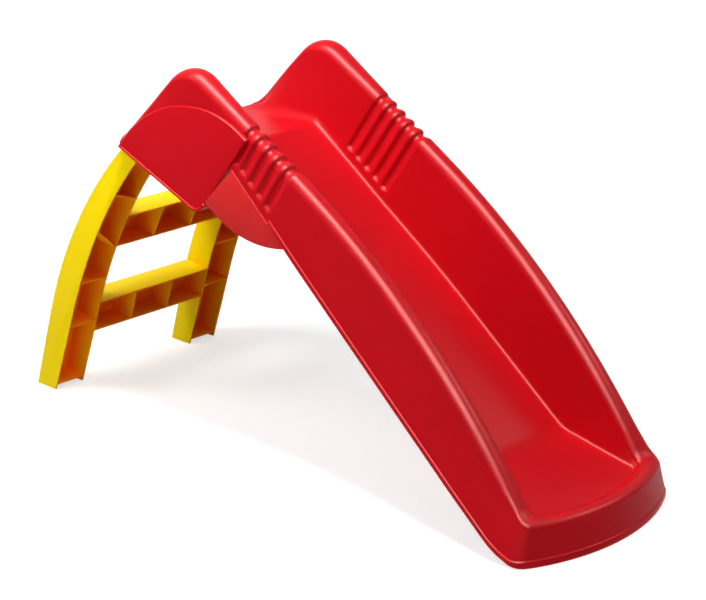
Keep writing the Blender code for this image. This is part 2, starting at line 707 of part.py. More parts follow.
def panel_rim(collection):
    """The raised band along a pocket's lower edge and round its front corner."""
    up = np.array((math.cos(PANEL_FRONT_ANGLE), math.sin(PANEL_FRONT_ANGLE)))
    across = np.array((up[1], -up[0]))
    low = np.array((PANEL_LOW_X, PANEL_LOW_Z))
    rear = np.array((PANEL_REAR_X, PANEL_REAR_Z))
    run = (low - rear) / np.linalg.norm(low - rear)
    lift = np.array((-run[1], run[0]))
    turn = math.acos(float(np.dot(run, up)))
    mitre = PANEL_RIM / math.tan(0.5 * (math.pi - turn))
    end = low + up * (PANEL_CORNER_RADIUS * math.tan(0.5 * turn) + 0.004)
    outer = rounded_path([rear, low, end], [PANEL_CORNER_RADIUS], math.radians(12.0))
    inner_low = low + lift * PANEL_RIM - run * mitre
    inner = rounded_path([rear + lift * PANEL_RIM * 0.2, inner_low, end - across * PANEL_RIM],
                         [PANEL_CORNER_RADIUS - PANEL_RIM], math.radians(12.0))
    outline = [tuple(p) for p in outer] + [tuple(p) for p in inner[::-1]]
    return plate("panel_rim", outline, PANEL_HALF - 0.4 * WALL, HALF_WIDTH, collection)


# Seats for the axle

PANEL_INSIDE_HALF = PANEL_HALF - WALL - PANEL_DRAFT * panel_height(HINGE_X, HINGE_Z)
HUB_OUTER_HALF = PANEL_INSIDE_HALF - PANEL_DRAFT * CAP_RADIUS - 2.0 * GAP - CAP_LENGTH


def seat_outline(bore, outside, top):
    """A seat round the axle that is open downwards, with a narrowed mouth; top is a line of points or None."""
    mouth = bore * MOUTH
    outer_start = math.atan2(-math.sqrt(outside ** 2 - mouth ** 2), mouth)
    inner_start = math.atan2(-math.sqrt(bore ** 2 - mouth ** 2), mouth)
    centre = (HINGE_X, HINGE_Z)
    if top:
        points = arc(centre, outside, outer_start, 0.0, 5) + top
        points += arc(centre, outside, math.pi, math.pi - outer_start, 5)
    else:
        points = arc(centre, outside, outer_start, math.pi - outer_start, 18)
    return points + arc(centre, bore, math.pi - inner_start, inner_start, 18)


def cradle(collection):
    """A plate under the platform that snaps over the axle."""
    sink = 0.6 * WALL
    top = []
    for x in (HINGE_X + CRADLE_SPREAD, HINGE_X + 0.3 * CRADLE_SPREAD, CREASE_X - 0.3 * CRADLE_SPREAD,
              HINGE_X - CRADLE_SPREAD):
        top.append((x, FLOOR.height(x) - sink))
    outline = seat_outline(AXLE_RADIUS + RUNNING, CRADLE_RADIUS, top)
    return plate("cradle", outline, CRADLE_HALF - 0.5 * CRADLE_WALL, CRADLE_HALF + 0.5 * CRADLE_WALL, collection)


def cap_seat(collection):
    """A ring inside a pocket's outer wall that holds the end of the axle."""
    outside = CAP_RADIUS + RUNNING + WALL
    outline = seat_outline(CAP_RADIUS + RUNNING, outside, None)
    wall_half = PANEL_INSIDE_HALF + PANEL_DRAFT * outside
    return plate("cap_seat", outline, wall_half - BOSS_DEPTH, wall_half + 0.1 * WALL, collection)


# Places on the hinge guards

GUARD_RUN = np.array(SKIRT.at(SKIRT.reach(GUARD_TOP_X) + GUARD_LENGTH)) - np.array((GUARD_TOP_X, GUARD_TOP_Z))
GUARD_RUN /= np.linalg.norm(GUARD_RUN)
GUARD_DOWN = np.array((GUARD_RUN[1], -GUARD_RUN[0]))


def guard_point(run, down):
    """A place in the side view, measured along the guard's top edge and away from it."""
    place = np.array((GUARD_TOP_X, GUARD_TOP_Z)) + GUARD_RUN * run + GUARD_DOWN * down
    return (float(place[0]), float(place[1]))


def screw_rods(name, radius, near_y, far_y, collection, sides=16):
    """One cylinder at each screw of a guard."""
    rods = [rod(name, guard_point(run, -SCREW_HEIGHT), radius, near_y, far_y, collection, sides)
            for run in SCREW_PLACES]
    return gather(name, rods, collection)


BOSS_FACE_HALF = GUARD_INNER_HALF + GUARD_WALL + GAP


def rear_flange(collection):
    """The wall that hangs from the rear edge of the platform."""
    back = REAR_X - FLANGE_LAP
    top = PLATFORM_Z - 0.3 * WALL
    outline = [(back, FLANGE_Z), (back + WALL, FLANGE_Z), (back + WALL, top), (back, top)]
    return plate("rear_flange", outline, -FLANGE_HALF, FLANGE_HALF, collection)


def make_slide_body(parts, tools):
    """Shell, pocket panels, axle seats and screw bosses as one moulding."""
    body = loft("slide_body", shell_rows(), parts)
    mirror = body.modifiers.new("other_side", "MIRROR")
    mirror.use_axis = (False, True, False)
    mirror.merge_threshold = 0.0001
    mirror.use_clip = True
    skin = body.modifiers.new("wall", "SOLIDIFY")
    skin.thickness = WALL
    skin.offset = -1.0
    skin.use_even_offset = True
    skin.use_rim = True
    settle(body)
    weld(body.data)
    combine(body, both_sides("panel_blocks", [panel_block(tools)], tools), "UNION")
    combine(body, both_sides("panel_bores", [panel_bore(tools)], tools), "DIFFERENCE")
    extras = [panel_rim(tools), cradle(tools), cap_seat(tools),
              screw_rods("screw_bosses", SCREW_BOSS_RADIUS, BOSS_FACE_HALF, SCREW_BOSS_HALF, tools)]
    combine(body, both_sides("slide_extras", extras, tools), "UNION")
    combine(body, rear_flange(tools), "UNION")
    holes = [screw_rods("boss_holes", SCREW_RADIUS + RUNNING, BOSS_FACE_HALF - HOLE_PAST,
                        GUARD_INNER_HALF + SCREW_LENGTH + RUNNING, tools)]
    combine(body, both_sides("boss_holes_both", holes, tools), "DIFFERENCE")
    weld(body.data)
    return body


# The ladder

def rail_rear(z):
    """Rear edge of the rails: straight, then curving forward."""
    start_x = -RAIL_FOOT_DEPTH + RAIL_STRAIGHT_Z * math.tan(RAIL_LEAN)
    if z <= RAIL_STRAIGHT_Z:
        return -RAIL_FOOT_DEPTH + z * math.tan(RAIL_LEAN)
    lean = math.asin(math.sin(RAIL_LEAN) + (z - RAIL_STRAIGHT_Z) / RAIL_RADIUS)
    return start_x + RAIL_RADIUS * (math.cos(RAIL_LEAN) - math.cos(lean))


def rail_depth(z):
    """Depth of the rails from rear to front, level with the floor."""
    return RAIL_FOOT_DEPTH + RAIL_SWELL * math.sin(math.pi * max(0.0, z) / LADDER_TOP_Z)


def between(z, foot, top):
    """A width that changes evenly from the foot of the ladder to its top."""
    return foot + (top - foot) * min(1.0, max(0.0, z) / LADDER_TOP_Z)


def rail_half(z):
    return between(z, RAIL_HALF, RAIL_TOP_HALF)


def inner_half(z):
    return between(z, RAIL_INNER_HALF, RAIL_INNER_TOP_HALF)


def ladder_block(name, low, high, side_a, side_b, collection, rear=0.0, front=0.0, tilt=0.0):
    """A piece of the ladder's volume between two heights and two sides.

    low and high give the heights at side_a and side_b, measured at the rear edge.
    side_a and side_b give the distance from the middle plane at a height. rear and front
    move the two edges forwards, and tilt lowers the front edge.
    """
    count = max(1, math.ceil((max(high) - min(low)) / RING_PITCH))
    rings = []
    for i in range(count + 1):
        t = i / count
        ring = []
        for which, side in enumerate((side_a, side_b)):
            z = low[which] + (high[which] - low[which]) * t
            reach = rail_depth(z) + front
            back = (rail_rear(z) + rear, z - rear * math.tan(tilt))
            fore = (rail_rear(z) + reach, z - reach * math.tan(tilt))
            pair = [Vector((back[0], side(z), back[1])), Vector((fore[0], side(z), fore[1]))]
            ring += pair if which == 0 else pair[::-1]
        rings.append(ring)
    return skin_rings(name, rings, collection)


def span_block(name, low, high, collection, **options):
    """A piece of the ladder across the whole width between the rails."""
    return ladder_block(name, (low, low), (high, high), lambda z: -inner_half(z), inner_half, collection, **options)


def ladder_windows(collection):
    """The open spaces between the treads."""
    past = dict(rear=-CUT_PAST, front=CUT_PAST, tilt=PULL_TILT)
    cuts = [span_block("window", -CUT_PAST, LOW_TREAD[0], collection, **past),
            span_block("window", LOW_TREAD[1], HIGH_TREAD[0], collection, **past),
            span_block("window", HIGH_TREAD[1], TOP_MEMBER_Z, collection, **past)]
    return gather("ladder_windows", cuts, collection)


def ladder_cells(collection):
    """The pockets that open forwards, in the treads, the top member and both rails."""
    reach = dict(rear=WEB, front=CUT_PAST, tilt=PULL_TILT)
    cuts = []
    for low, high in (LOW_TREAD, HIGH_TREAD, (TOP_MEMBER_Z, LADDER_TOP_Z)):
        floor, roof = low + WEB, high - WEB
        middle = TREAD_DIVIDER_HALF - 0.5 * WEB
        side = TREAD_DIVIDER_HALF + 0.5 * WEB
        cuts.append(ladder_block("cell", (floor, floor), (roof, roof), lambda z: -middle, lambda z: middle,
                                 collection, **reach))
        cuts.append(ladder_block("cell", (floor, floor), (roof, roof), lambda z: side, inner_half,
                                 collection, **reach))
        cuts.append(ladder_block("cell", (floor, floor), (roof, roof), lambda z: -side,
                                 lambda z: -inner_half(z), collection, **reach))
    floors = [(-CUT_PAST, -CUT_PAST), (FOOT_WEB_Z, FOOT_WEB_Z)] + list(RAIL_WEBS)
    roofs = [(FOOT_WEB_Z, FOOT_WEB_Z)] + list(RAIL_WEBS) + [(LADDER_TOP_Z, LADDER_TOP_Z)]
    for floor, roof in zip(floors, roofs):
        low = [z + 0.5 * WEB for z in floor]
        high = [z - 0.5 * WEB for z in roof]
        for side in (-1.0, 1.0):
            cuts.append(ladder_block("cell", low, high, lambda z: side * (inner_half(z) + WEB),
                                     lambda z: side * (rail_half(z) - WEB), collection, **reach))
    return gather("ladder_cells", cuts, collection)


def cheek_outline():
    """An arm from a rail's top to its hub, with a round shoulder about the axle."""
    centre = (HINGE_X, HINGE_Z)
    points = arc(centre, CHEEK_RADIUS, CHEEK_FRONT_ANGLE, CHEEK_REAR_ANGLE, 10)
    top_z = points[-1][1]
    rear_x = rail_rear(top_z) + WEB
    points += [(rear_x, top_z), (rail_rear(TOP_MEMBER_Z) + 2.0 * WEB, TOP_MEMBER_Z + WEB)]
    points += [(HINGE_X - 2.0 * HUB_RADIUS, HINGE_Z - 0.7 * HUB_RADIUS)]
    points += arc(centre, HUB_RADIUS * 0.95, math.radians(250.0), math.radians(370.0), 6)
    return points


def make_ladder(parts, tools):
    """Rails, treads and cheeks as one webbed moulding, open to the front."""
    ladder = ladder_block("ladder", (0.0, 0.0), (LADDER_TOP_Z, LADDER_TOP_Z), lambda z: -rail_half(z), rail_half,
                          parts)
    combine(ladder, ladder_windows(tools), "DIFFERENCE")
    combine(ladder, ladder_cells(tools), "DIFFERENCE")
    arm = plate("cheek", cheek_outline(), CHEEK_INNER_HALF, CHEEK_OUTER_HALF, tools)
    hub = rod("hub", (HINGE_X, HINGE_Z), HUB_RADIUS, HUB_INNER_HALF, HUB_OUTER_HALF, tools, 32)
    combine(arm, hub, "UNION")
    arms = both_sides("cheeks", [arm], tools)
    bpy.data.objects.remove(hub)
    combine(ladder, arms, "UNION")
    bore = rod("hub_bore", (HINGE_X, HINGE_Z), AXLE_RADIUS + RUNNING, -PANEL_HALF, PANEL_HALF, tools, 32)
    combine(ladder, bore, "DIFFERENCE")
    weld(ladder.data)
    return ladder


# Small pieces

def turned(name, profile, centre, side, collection, steps=32):
    """A round piece on a line across the slide, from (radius, distance out) points, outer end first."""
    mesh = bpy.data.meshes.new(name)
    ring = [(i, (i + 1) % len(profile)) for i in range(len(profile))]
    edges = [(i, j) for i, j in ring if profile[i][0] > 0.0 or profile[j][0] > 0.0]
    mesh.from_pydata([(radius, 0.0, out) for radius, out in profile], edges, [])
    item = mesh_object(name, mesh, collection)
    screw = item.modifiers.new("turn", "SCREW")
    screw.steps = steps
    screw.render_steps = steps
    screw.use_merge_vertices = True
    screw.merge_threshold = 0.00001
    screw.use_smooth_shade = True
    settle(item)
    weld(item.data)
    item.location = (centre[0], 0.0, centre[1])
    item.rotation_euler = (-side * math.pi / 2.0, 0.0, 0.0)
    return item


CAP_OUTER_HALF = PANEL_INSIDE_HALF - PANEL_DRAFT * CAP_RADIUS - GAP
AXLE_HALF = CAP_OUTER_HALF - CAP_TOP - GAP


def make_axle(parts):
    """A steel tube right across the slide."""
    outer, inner = AXLE_RADIUS, AXLE_RADIUS - AXLE_WALL
    profile = [(inner, AXLE_HALF), (outer, AXLE_HALF), (outer, -AXLE_HALF), (inner, -AXLE_HALF)]
    return turned("fold_axle", profile, (HINGE_X, HINGE_Z), 1.0, parts)


def make_cap(name, side, parts):
    """A plastic cup over one end of the axle."""
    end = CAP_OUTER_HALF
    bore = AXLE_RADIUS + GAP
    profile = [(0.0, end), (CAP_RADIUS - CAP_ROUND, end), (CAP_RADIUS, end - CAP_ROUND),
               (CAP_RADIUS, end - CAP_LENGTH), (bore, end - CAP_LENGTH), (bore, end - CAP_TOP), (0.0, end - CAP_TOP)]
    return turned(name, profile, (HINGE_X, HINGE_Z), side, parts)


def make_guard(name, side, parts, tools):
    """A cover plate under the skirt: outer plate, flange under the skirt and a screwed upstand."""
    corner = guard_point(0.0, GUARD_LEFT)
    end = guard_point(GUARD_LENGTH, 0.0)
    middle = 0.5 * (np.array(corner) + np.array(end))
    chord = np.array(end) - np.array(corner)
    half_chord = 0.5 * float(np.linalg.norm(chord))
    rise = math.sqrt(GUARD_ARC_RADIUS ** 2 - half_chord ** 2)
    lift = np.array((-chord[1], chord[0])) / (2.0 * half_chord)
    centre = middle + lift * rise
    begin = math.atan2(corner[1] - centre[1], corner[0] - centre[0])
    finish = math.atan2(end[1] - centre[1], end[0] - centre[0])
    outline = [guard_point(0.0, 0.0)] + arc(centre, GUARD_ARC_RADIUS, begin, finish, 14)
    face = plate(name, outline, GUARD_HALF, GUARD_HALF + GUARD_WALL, tools)
    run_a = GUARD_STRIP_INSET
    run_b = GUARD_LENGTH - GUARD_STRIP_END
    drop = GAP + GUARD_STRIP_DROP
    low = drop + GUARD_WALL
    flange = plate("flange", [guard_point(run_a, drop), guard_point(run_a, low),
                              guard_point(run_b, low), guard_point(run_b, drop)],
                   GUARD_INNER_HALF + 0.5 * GUARD_WALL, GUARD_HALF + 0.5 * GUARD_WALL, tools)
    ends = (run_a + 0.5 * GUARD_WALL, run_b - 0.5 * GUARD_WALL)
    root = drop + 0.5 * GUARD_WALL
    upstand = plate("upstand", [guard_point(ends[0], root), guard_point(ends[0], -GUARD_UPSTAND),
                                guard_point(ends[1], -GUARD_UPSTAND), guard_point(ends[1], root)],
                    GUARD_INNER_HALF, GUARD_INNER_HALF + GUARD_WALL, tools)
    combine(face, flange, "UNION")
    combine(face, upstand, "UNION")
    holes = screw_rods("guard_holes", SCREW_RADIUS + RUNNING, GUARD_INNER_HALF - HOLE_PAST,
                       GUARD_INNER_HALF + GUARD_WALL + HOLE_PAST, tools)
    combine(face, holes, "DIFFERENCE")
    for tool in (flange, upstand, holes):
        bpy.data.objects.remove(tool)
    guard = face if side > 0 else mirrored(face, parts)
    if side < 0:
        bpy.data.objects.remove(face)
    else:
        tools.objects.unlink(guard)
        parts.objects.link(guard)
    guard.name = name
    weld(guard.data)
    return guard


def make_screws(parts):
    """Four screws that hold the guards, heads inside the slide."""
    seat = GUARD_INNER_HALF - GAP
    profile = [(0.0, seat + SCREW_LENGTH), (SCREW_RADIUS, seat + SCREW_LENGTH), (SCREW_RADIUS, seat),
               (SCREW_HEAD_RADIUS, seat), (SCREW_HEAD_RADIUS, seat - 0.5 * SCREW_HEAD),
               (0.7 * SCREW_HEAD_RADIUS, seat - SCREW_HEAD), (0.0, seat - SCREW_HEAD)]
    screws = []
    for hand, side in (("left", -1.0), ("right", 1.0)):
        for place, run in zip(("upper", "lower"), SCREW_PLACES):
            centre = guard_point(run, -SCREW_HEIGHT)
            screws.append(turned(f"guard_screw_{hand}_{place}", profile, centre, side, parts, 16))
    return screws


def shade(item, angle=math.radians(35.0)):
    """Smooth the faces of an object but keep its sharp edges."""
    mesh = item.data
    mesh.polygons.foreach_set("use_smooth", [True] * len(mesh.polygons))
    mesh.set_sharp_from_angle(angle=angle)


def main():
    clear_scene()
    parts = make_collection("kids_slide")
    tools = make_collection("cutters")
    frame = bpy.data.objects.new("slide_frame", None)
    parts.objects.link(frame)
    frame.location = (-CENTRE_X, 0.0, 0.0)
    pivot = bpy.data.objects.new("fold_pivot", None)
    parts.objects.link(pivot)
    pivot.parent = frame
    pivot.location = (HINGE_X, 0.0, HINGE_Z)
    red = make_material("red_plastic", RED, 0.25, 0.0)
    guard_red = make_material("red_guard_plastic", RED_GUARD, 0.3, 0.0)
    yellow = make_material("yellow_plastic", YELLOW, 0.25, 0.0)
    steel = make_material("axle_steel", STEEL, 0.3, 1.0)
    cap_grey = make_material("cap_plastic", GREY, 0.4, 0.0)
    screw_steel = make_material("screw_steel", STEEL, 0.35, 1.0)
    pieces = [(make_slide_body(parts, tools), red), (make_axle(parts), steel),
              (make_cap("axle_cap_left", -1.0, parts), cap_grey), (make_cap("axle_cap_right", 1.0, parts), cap_grey),
              (make_guard("hinge_guard_left", -1.0, parts, tools), guard_red),
              (make_guard("hinge_guard_right", 1.0, parts, tools), guard_red)]
    pieces += [(screw, screw_steel) for screw in make_screws(parts)]
    for item, material in pieces:
        item.data.materials.clear()
        item.data.materials.append(material)
        item.parent = frame
        shade(item)
    ladder = make_ladder(parts, tools)
    ladder.data.transform(Matrix.Translation((-HINGE_X, 0.0, -HINGE_Z)))
    ladder.data.materials.clear()
    ladder.data.materials.append(yellow)
    ladder.parent = pivot
    shade(ladder, math.radians(25.0))
    for tool in tools.objects:
        tool.parent = frame
        tool.hide_render = True
        tool.display_type = "WIRE"


main()
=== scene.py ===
"""Looks of a toddler slide: a red ribbed chute with a platform, on a yellow folding ladder.

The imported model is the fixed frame. The big mouldings are made again here with their full
roundness, and every other node keeps its mesh and gets a better finish. Sizes are metres in
the foot frame, where x = 0 is the front corner of the ladder's feet, and CENTRE_X carries
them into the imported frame.
"""

import logging
from contextlib import contextmanager
from dataclasses import dataclass, field
from enum import Enum
from math import acos, asin, atan2, ceil, copysign, cos, pi, radians, sin, sqrt, tan
from typing import Iterable, Iterator, NamedTuple, Optional, Sequence

import bmesh
import bpy
import numpy as np
from bmesh.types import BMVert, BMesh
from bpy.types import ID, Material, Mesh, Node, NodeSocket, NodeTree, Object
from mathutils import Matrix, Vector
from mathutils.bvhtree import BVHTree


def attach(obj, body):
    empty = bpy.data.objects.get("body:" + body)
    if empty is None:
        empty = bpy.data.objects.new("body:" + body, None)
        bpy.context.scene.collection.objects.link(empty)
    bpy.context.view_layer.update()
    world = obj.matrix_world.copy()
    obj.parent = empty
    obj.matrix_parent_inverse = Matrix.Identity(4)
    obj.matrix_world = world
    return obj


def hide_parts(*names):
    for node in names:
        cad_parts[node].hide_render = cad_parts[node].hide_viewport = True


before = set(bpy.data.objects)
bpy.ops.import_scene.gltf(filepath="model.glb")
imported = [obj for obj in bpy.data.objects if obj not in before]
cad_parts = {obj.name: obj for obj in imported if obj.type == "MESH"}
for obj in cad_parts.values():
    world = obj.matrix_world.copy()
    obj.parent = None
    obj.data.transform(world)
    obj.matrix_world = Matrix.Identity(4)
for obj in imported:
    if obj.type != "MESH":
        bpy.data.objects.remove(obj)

LOG = logging.getLogger("kids_slide")
FLAT_AREA = 0.0025  # faces from this area on are shaded flat
CENTRE_X = 0.5445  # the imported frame's origin in the foot frame
WALL = 0.0035  # gauge of the red moulding
MERGE = 0.00002  # reach of the weld after the hinge pockets are joined on
SEAM = 0.00001  # reach of the weld between the shell's skins and halves
NEXT_TO_NOTHING = 1e-12
NOWHERE = Vector((0.0, 0.0, 0.0))

Pair = tuple[float, float]
Triple = tuple[float, float, float]
Numbers = tuple[float, ...]
Colour = tuple[float, float, float, float]


# Finishes

@dataclass
class Nodes:
    """A node tree of a material, a world or a modifier, with short ways to fill it.

    Wherever a value is asked for, a number, a colour, a socket or a node will do. A node
    stands for its first output.
    """

    tree: NodeTree
    material: Optional[Material] = None

    @classmethod
    def named(cls, name: str) -> "Nodes":
        """Start an empty node material."""
        material = bpy.data.materials.new(name)
        material.use_nodes = True
        material.node_tree.nodes.clear()
        return cls(material.node_tree, material)

    def node(self, kind: str, settings: Optional[dict] = None, **inputs) -> Node:
        """Add a node.

        Args:
            kind: Blender's name of the node's type.
            settings: values of the node's own properties.
            inputs: values by input name, with _ for a space.

        Returns:
            The new node.
        """
        made = self.tree.nodes.new(kind)
        for key, value in (settings or {}).items():
            setattr(made, key, value)
        for key, value in inputs.items():
            self.join(made, key.replace("_", " "), value)
        return made

    def join(self, node: Node, key: str | int, value) -> None:
        """Set one input of a node to a value, or link a node or a socket to it."""
        value = value.outputs[0] if isinstance(value, Node) else value
        if isinstance(value, NodeSocket):
            self.tree.links.new(value, node.inputs[key])
        else:
            node.inputs[key].default_value = value

    def math(self, operation: str, first, second=0.0) -> Node:
        """Combine two numbers."""
        made = self.node("ShaderNodeMath", {"operation": operation})
        self.join(made, 0, first)
        self.join(made, 1, second)
        return made

    def span(self, value, low: float, high: float, to_low: float, to_high: float) -> Node:
        """Map a number from one span to another, clamped."""
        return self.node("ShaderNodeMapRange", Value=value, From_Min=low, From_Max=high, To_Min=to_low, To_Max=to_high)

    def mix(self, factor, first, second) -> NodeSocket:
        """Blend two colours by a factor."""
        made = self.node("ShaderNodeMix", {"data_type": "RGBA"})
        self.join(made, "Factor", factor)
        self.join(made, 6, first)
        self.join(made, 7, second)
        return made.outputs[2]

    def noise(self, place, scale: float, detail: float = 2.0, roughness: float = 0.5) -> Node:
        """Add a noise texture."""
        return self.node("ShaderNodeTexNoise", Vector=place, Scale=scale, Detail=detail, Roughness=roughness)

    def place(self) -> NodeSocket:
        """Return the object's own coordinates."""
        return self.node("ShaderNodeTexCoord").outputs["Object"]

    def seen(self) -> Node:
        """Return 1 for rays of the camera, of a reflection or through glass, and 0 for the others."""
        path = self.node("ShaderNodeLightPath").outputs
        either = self.math("MAXIMUM", path["Is Camera Ray"], path["Is Glossy Ray"])
        return self.math("MAXIMUM", either, path["Is Transmission Ray"])

    def finish(self, surface: Node) -> Material:
        """Send a shader to the output and return the material."""
        self.node("ShaderNodeOutputMaterial", Surface=surface)
        return self.material


@dataclass(frozen=True)
class MouldedPlastic:
    """Satin moulded plastic: slow waves from the mould's cooling, a fine skin, lighter worn edges.

    A finish with a painted shade colour turns towards it in deep cells (the mesh's baked
    occlusion attribute) and on faces that look forwards: painted shade, not a second plastic.
    """

    name: str
    colour: Colour
    deep: Colour
    edge: Colour
    roughness: Pair = (0.32, 0.40)
    wave_scale: float = 9.0
    wave_height: float = 0.0006
    skin_scale: float = 420.0
    skin_height: float = 0.00003
    cloud_scale: float = 3.1
    scuff_scale: float = 55.0
    worn: Pair = (0.52, 0.60)
    worn_share: float = 0.55
    specular: float = 0.06
    # colour of the painted shade in cells and on forward faces; None paints no shade
    painted_shade: Optional[Colour] = None
    painted_shade_span: Pair = (0.20, 0.68)
    front_painted_shade_span: Pair = (0.20, 0.60)
    front_painted_shade_share: float = 0.85

    def material(self) -> Material:
        """Build the material."""
        nodes = Nodes.named(self.name)
        place = nodes.place()
        slow = nodes.noise(place, self.wave_scale, 3.0, 0.45)
        cloud = nodes.noise(place, self.cloud_scale, 2.0, 0.5)
        fine = nodes.noise(place, self.skin_scale, 2.0, 0.6)
        scuffs = nodes.noise(place, self.scuff_scale, 6.0, 0.65)
        tone = nodes.mix(nodes.span(cloud, 0.32, 0.68, 0.0, 1.0), self.deep, self.colour)
        rim = nodes.span(nodes.node("ShaderNodeNewGeometry").outputs["Pointiness"], *self.worn, 0.0, self.worn_share)
        colour = nodes.mix(nodes.math("MULTIPLY", rim, nodes.span(scuffs, 0.35, 0.6, 0.35, 1.0)), tone, self.edge)
        # painted shade: deep cells and faces that look forwards (+x) turn to the painted shade colour
        if self.painted_shade:
            deep = nodes.node("ShaderNodeAttribute", {"attribute_name": "painted_shade"}).outputs["Fac"]
            facing = nodes.node("ShaderNodeSeparateXYZ", Vector=nodes.node("ShaderNodeTexCoord").outputs["Normal"])
            front = nodes.span(facing, *self.front_painted_shade_span, 0.0, self.front_painted_shade_share)
            shade = nodes.math("MAXIMUM", nodes.span(deep, *self.painted_shade_span, 0.0, 1.0), front)
            colour = nodes.mix(shade, colour, self.painted_shade)
        rough = nodes.span(scuffs, 0.3, 0.75, *self.roughness)
        waves = nodes.node("ShaderNodeBump", Strength=1.0, Distance=self.wave_height, Height=slow)
        skin = nodes.node("ShaderNodeBump", Strength=1.0, Distance=self.skin_height, Height=fine, Normal=waves)
        return nodes.finish(nodes.node("ShaderNodeBsdfPrincipled", Base_Color=colour, Roughness=rough, IOR=1.5,
                                       Specular_IOR_Level=self.specular, Normal=skin))


@dataclass(frozen=True)
class PlatedSteel:
    """Drawn, zinc-plated steel with fine lines along y and a cloudy plating."""

    name: str
    colour: Colour
    dull: Colour
    lines: float = 900.0

    def material(self) -> Material:
        """Build the material."""
        nodes = Nodes.named(self.name)
        stretch = nodes.node("ShaderNodeMapping", Vector=nodes.place(), Scale=(1.0, 0.02, 1.0))
        drawn = nodes.noise(stretch, self.lines, 2.0)
        cloud = nodes.noise(nodes.place(), 60.0, 4.0)
        colour = nodes.mix(nodes.span(cloud, 0.35, 0.65, 0.0, 1.0), self.dull, self.colour)
        bump = nodes.node("ShaderNodeBump", Strength=0.4, Distance=0.00005, Height=drawn)
        return nodes.finish(nodes.node("ShaderNodeBsdfPrincipled", Base_Color=colour, Metallic=1.0, Normal=bump,
                                       Roughness=nodes.span(cloud, 0.3, 0.7, 0.24, 0.42)))


RED_FINISH = MouldedPlastic("red_gloss", (0.560, 0.0016, 0.0080, 1.0), (0.520, 0.0012, 0.0070, 1.0),
                            (0.660, 0.030, 0.030, 1.0))
# the guard's own red, set lighter than the slide's red: partly the part's colour, partly painted light on its leaning
# face
GUARD_FINISH_WITH_PAINTED_LIGHT = MouldedPlastic("red_guard_gloss_painted_light", (0.680, 0.022, 0.021, 1.0), (0.640, 0.018, 0.019, 1.0),
                              (0.690, 0.045, 0.040, 1.0), roughness=(0.24, 0.34))
# the yellow's deep orange is painted shade for its cells and forward faces, not a second colour of plastic
YELLOW_FINISH = MouldedPlastic("yellow_gloss", (1.000, 0.745, 0.0005, 1.0), (0.985, 0.725, 0.0005, 1.0),
                               (1.000, 0.770, 0.002, 1.0), wave_height=0.0003, specular=0.03,
                               painted_shade=(1.000, 0.230, 0.0020, 1.0))
CAP_FINISH = MouldedPlastic("cap_grey", (0.050, 0.050, 0.055, 1.0), (0.035, 0.035, 0.040, 1.0),
                            (0.110, 0.110, 0.115, 1.0), roughness=(0.38, 0.52))
STEEL_FINISH = PlatedSteel("zinc_steel", (0.62, 0.63, 0.64, 1.0), (0.50, 0.51, 0.53, 1.0))


# Mesh helpers

def link(name: str, data: ID) -> Object:
    """Put a mesh, a lamp or a camera into the scene as a new object."""
    item = bpy.data.objects.new(name, data)
    bpy.context.scene.collection.objects.link(item)
    return item


def coat(item: Object, material: Material) -> None:
    """Give an object one finish all over."""
    item.data.materials.clear()
    item.data.materials.append(material)


def plain(item: Object) -> Object:
    """Turn what an object's modifiers make into its own plain mesh."""
    bpy.context.view_layer.update()
    made = bpy.data.meshes.new_from_object(item.evaluated_get(bpy.context.evaluated_depsgraph_get()))
    item.modifiers.clear()
    old, item.data = item.data, made
    bpy.data.meshes.remove(old)
    return item


def finished(build: BMesh, name: str) -> Mesh:
    """Turn a bmesh into a new mesh and free it."""
    mesh = bpy.data.meshes.new(name)
    build.to_mesh(mesh)
    build.free()
    return mesh


@contextmanager
def opened(mesh: Mesh) -> Iterator[BMesh]:
    """Open a mesh as a bmesh, and write it back afterwards."""
    build = bmesh.new()
    build.from_mesh(mesh)
    yield build
    build.to_mesh(mesh)
    build.free()


def weld(build: BMesh, reach: float) -> None:
    """Merge the points that lie within a reach and turn the faces outwards."""
    bmesh.ops.remove_doubles(build, verts=build.verts, dist=reach)
    bmesh.ops.recalc_face_normals(build, faces=build.faces)


def smooth(item: Object, degrees: float) -> None:
    """Shade an object smooth, keep edges sharper than an angle, and let large flat faces stay flat."""
    item.data.polygons.foreach_set("use_smooth", [face.area < FLAT_AREA for face in item.data.polygons])
    item.data.set_sharp_from_angle(angle=radians(degrees))


def bevel(item: Object, width: float, segments: int, degrees: float) -> None:
    """Round the edges of an object that turn by more than an angle."""
    made = item.modifiers.new("edges", "BEVEL")
    made.width = width
    made.segments = segments
    made.limit_method = "ANGLE"
    made.angle_limit = radians(degrees)
    plain(item)


class Tool(Enum):
    """What a tool does to the object that it meets."""

    JOIN = "UNION"
    CUT = "DIFFERENCE"


def work_on(item: Object, tool: Object, use: Tool) -> None:
    """Join a tool to an object or cut it away, then remove the tool."""
    made = item.modifiers.new(tool.name, "BOOLEAN")
    made.object = tool
    made.operation = use.value
    made.solver = "EXACT"
    plain(item)
    bpy.data.objects.remove(tool)


def mirrored(mesh: Mesh) -> Mesh:
    """Return a mesh's image on the other side of the middle plane."""
    image = mesh.copy()
    image.transform(Matrix.Scale(-1.0, 4, (0.0, 1.0, 0.0)))
    image.flip_normals()
    return image


def gather(name: str, meshes: Iterable[Mesh]) -> Object:
    """Join separate meshes into one new object."""
    build = bmesh.new()
    for mesh in meshes:
        build.from_mesh(mesh)
    return link(name, finished(build, name))


def strip(build: BMesh, upper: Sequence[BMVert], lower: Sequence[BMVert]) -> None:
    """Close the strip between two rows of points with faces."""
    for a, b, c, d in zip(upper, upper[1:], lower[1:], lower):
        build.faces.new((a, b, c, d))


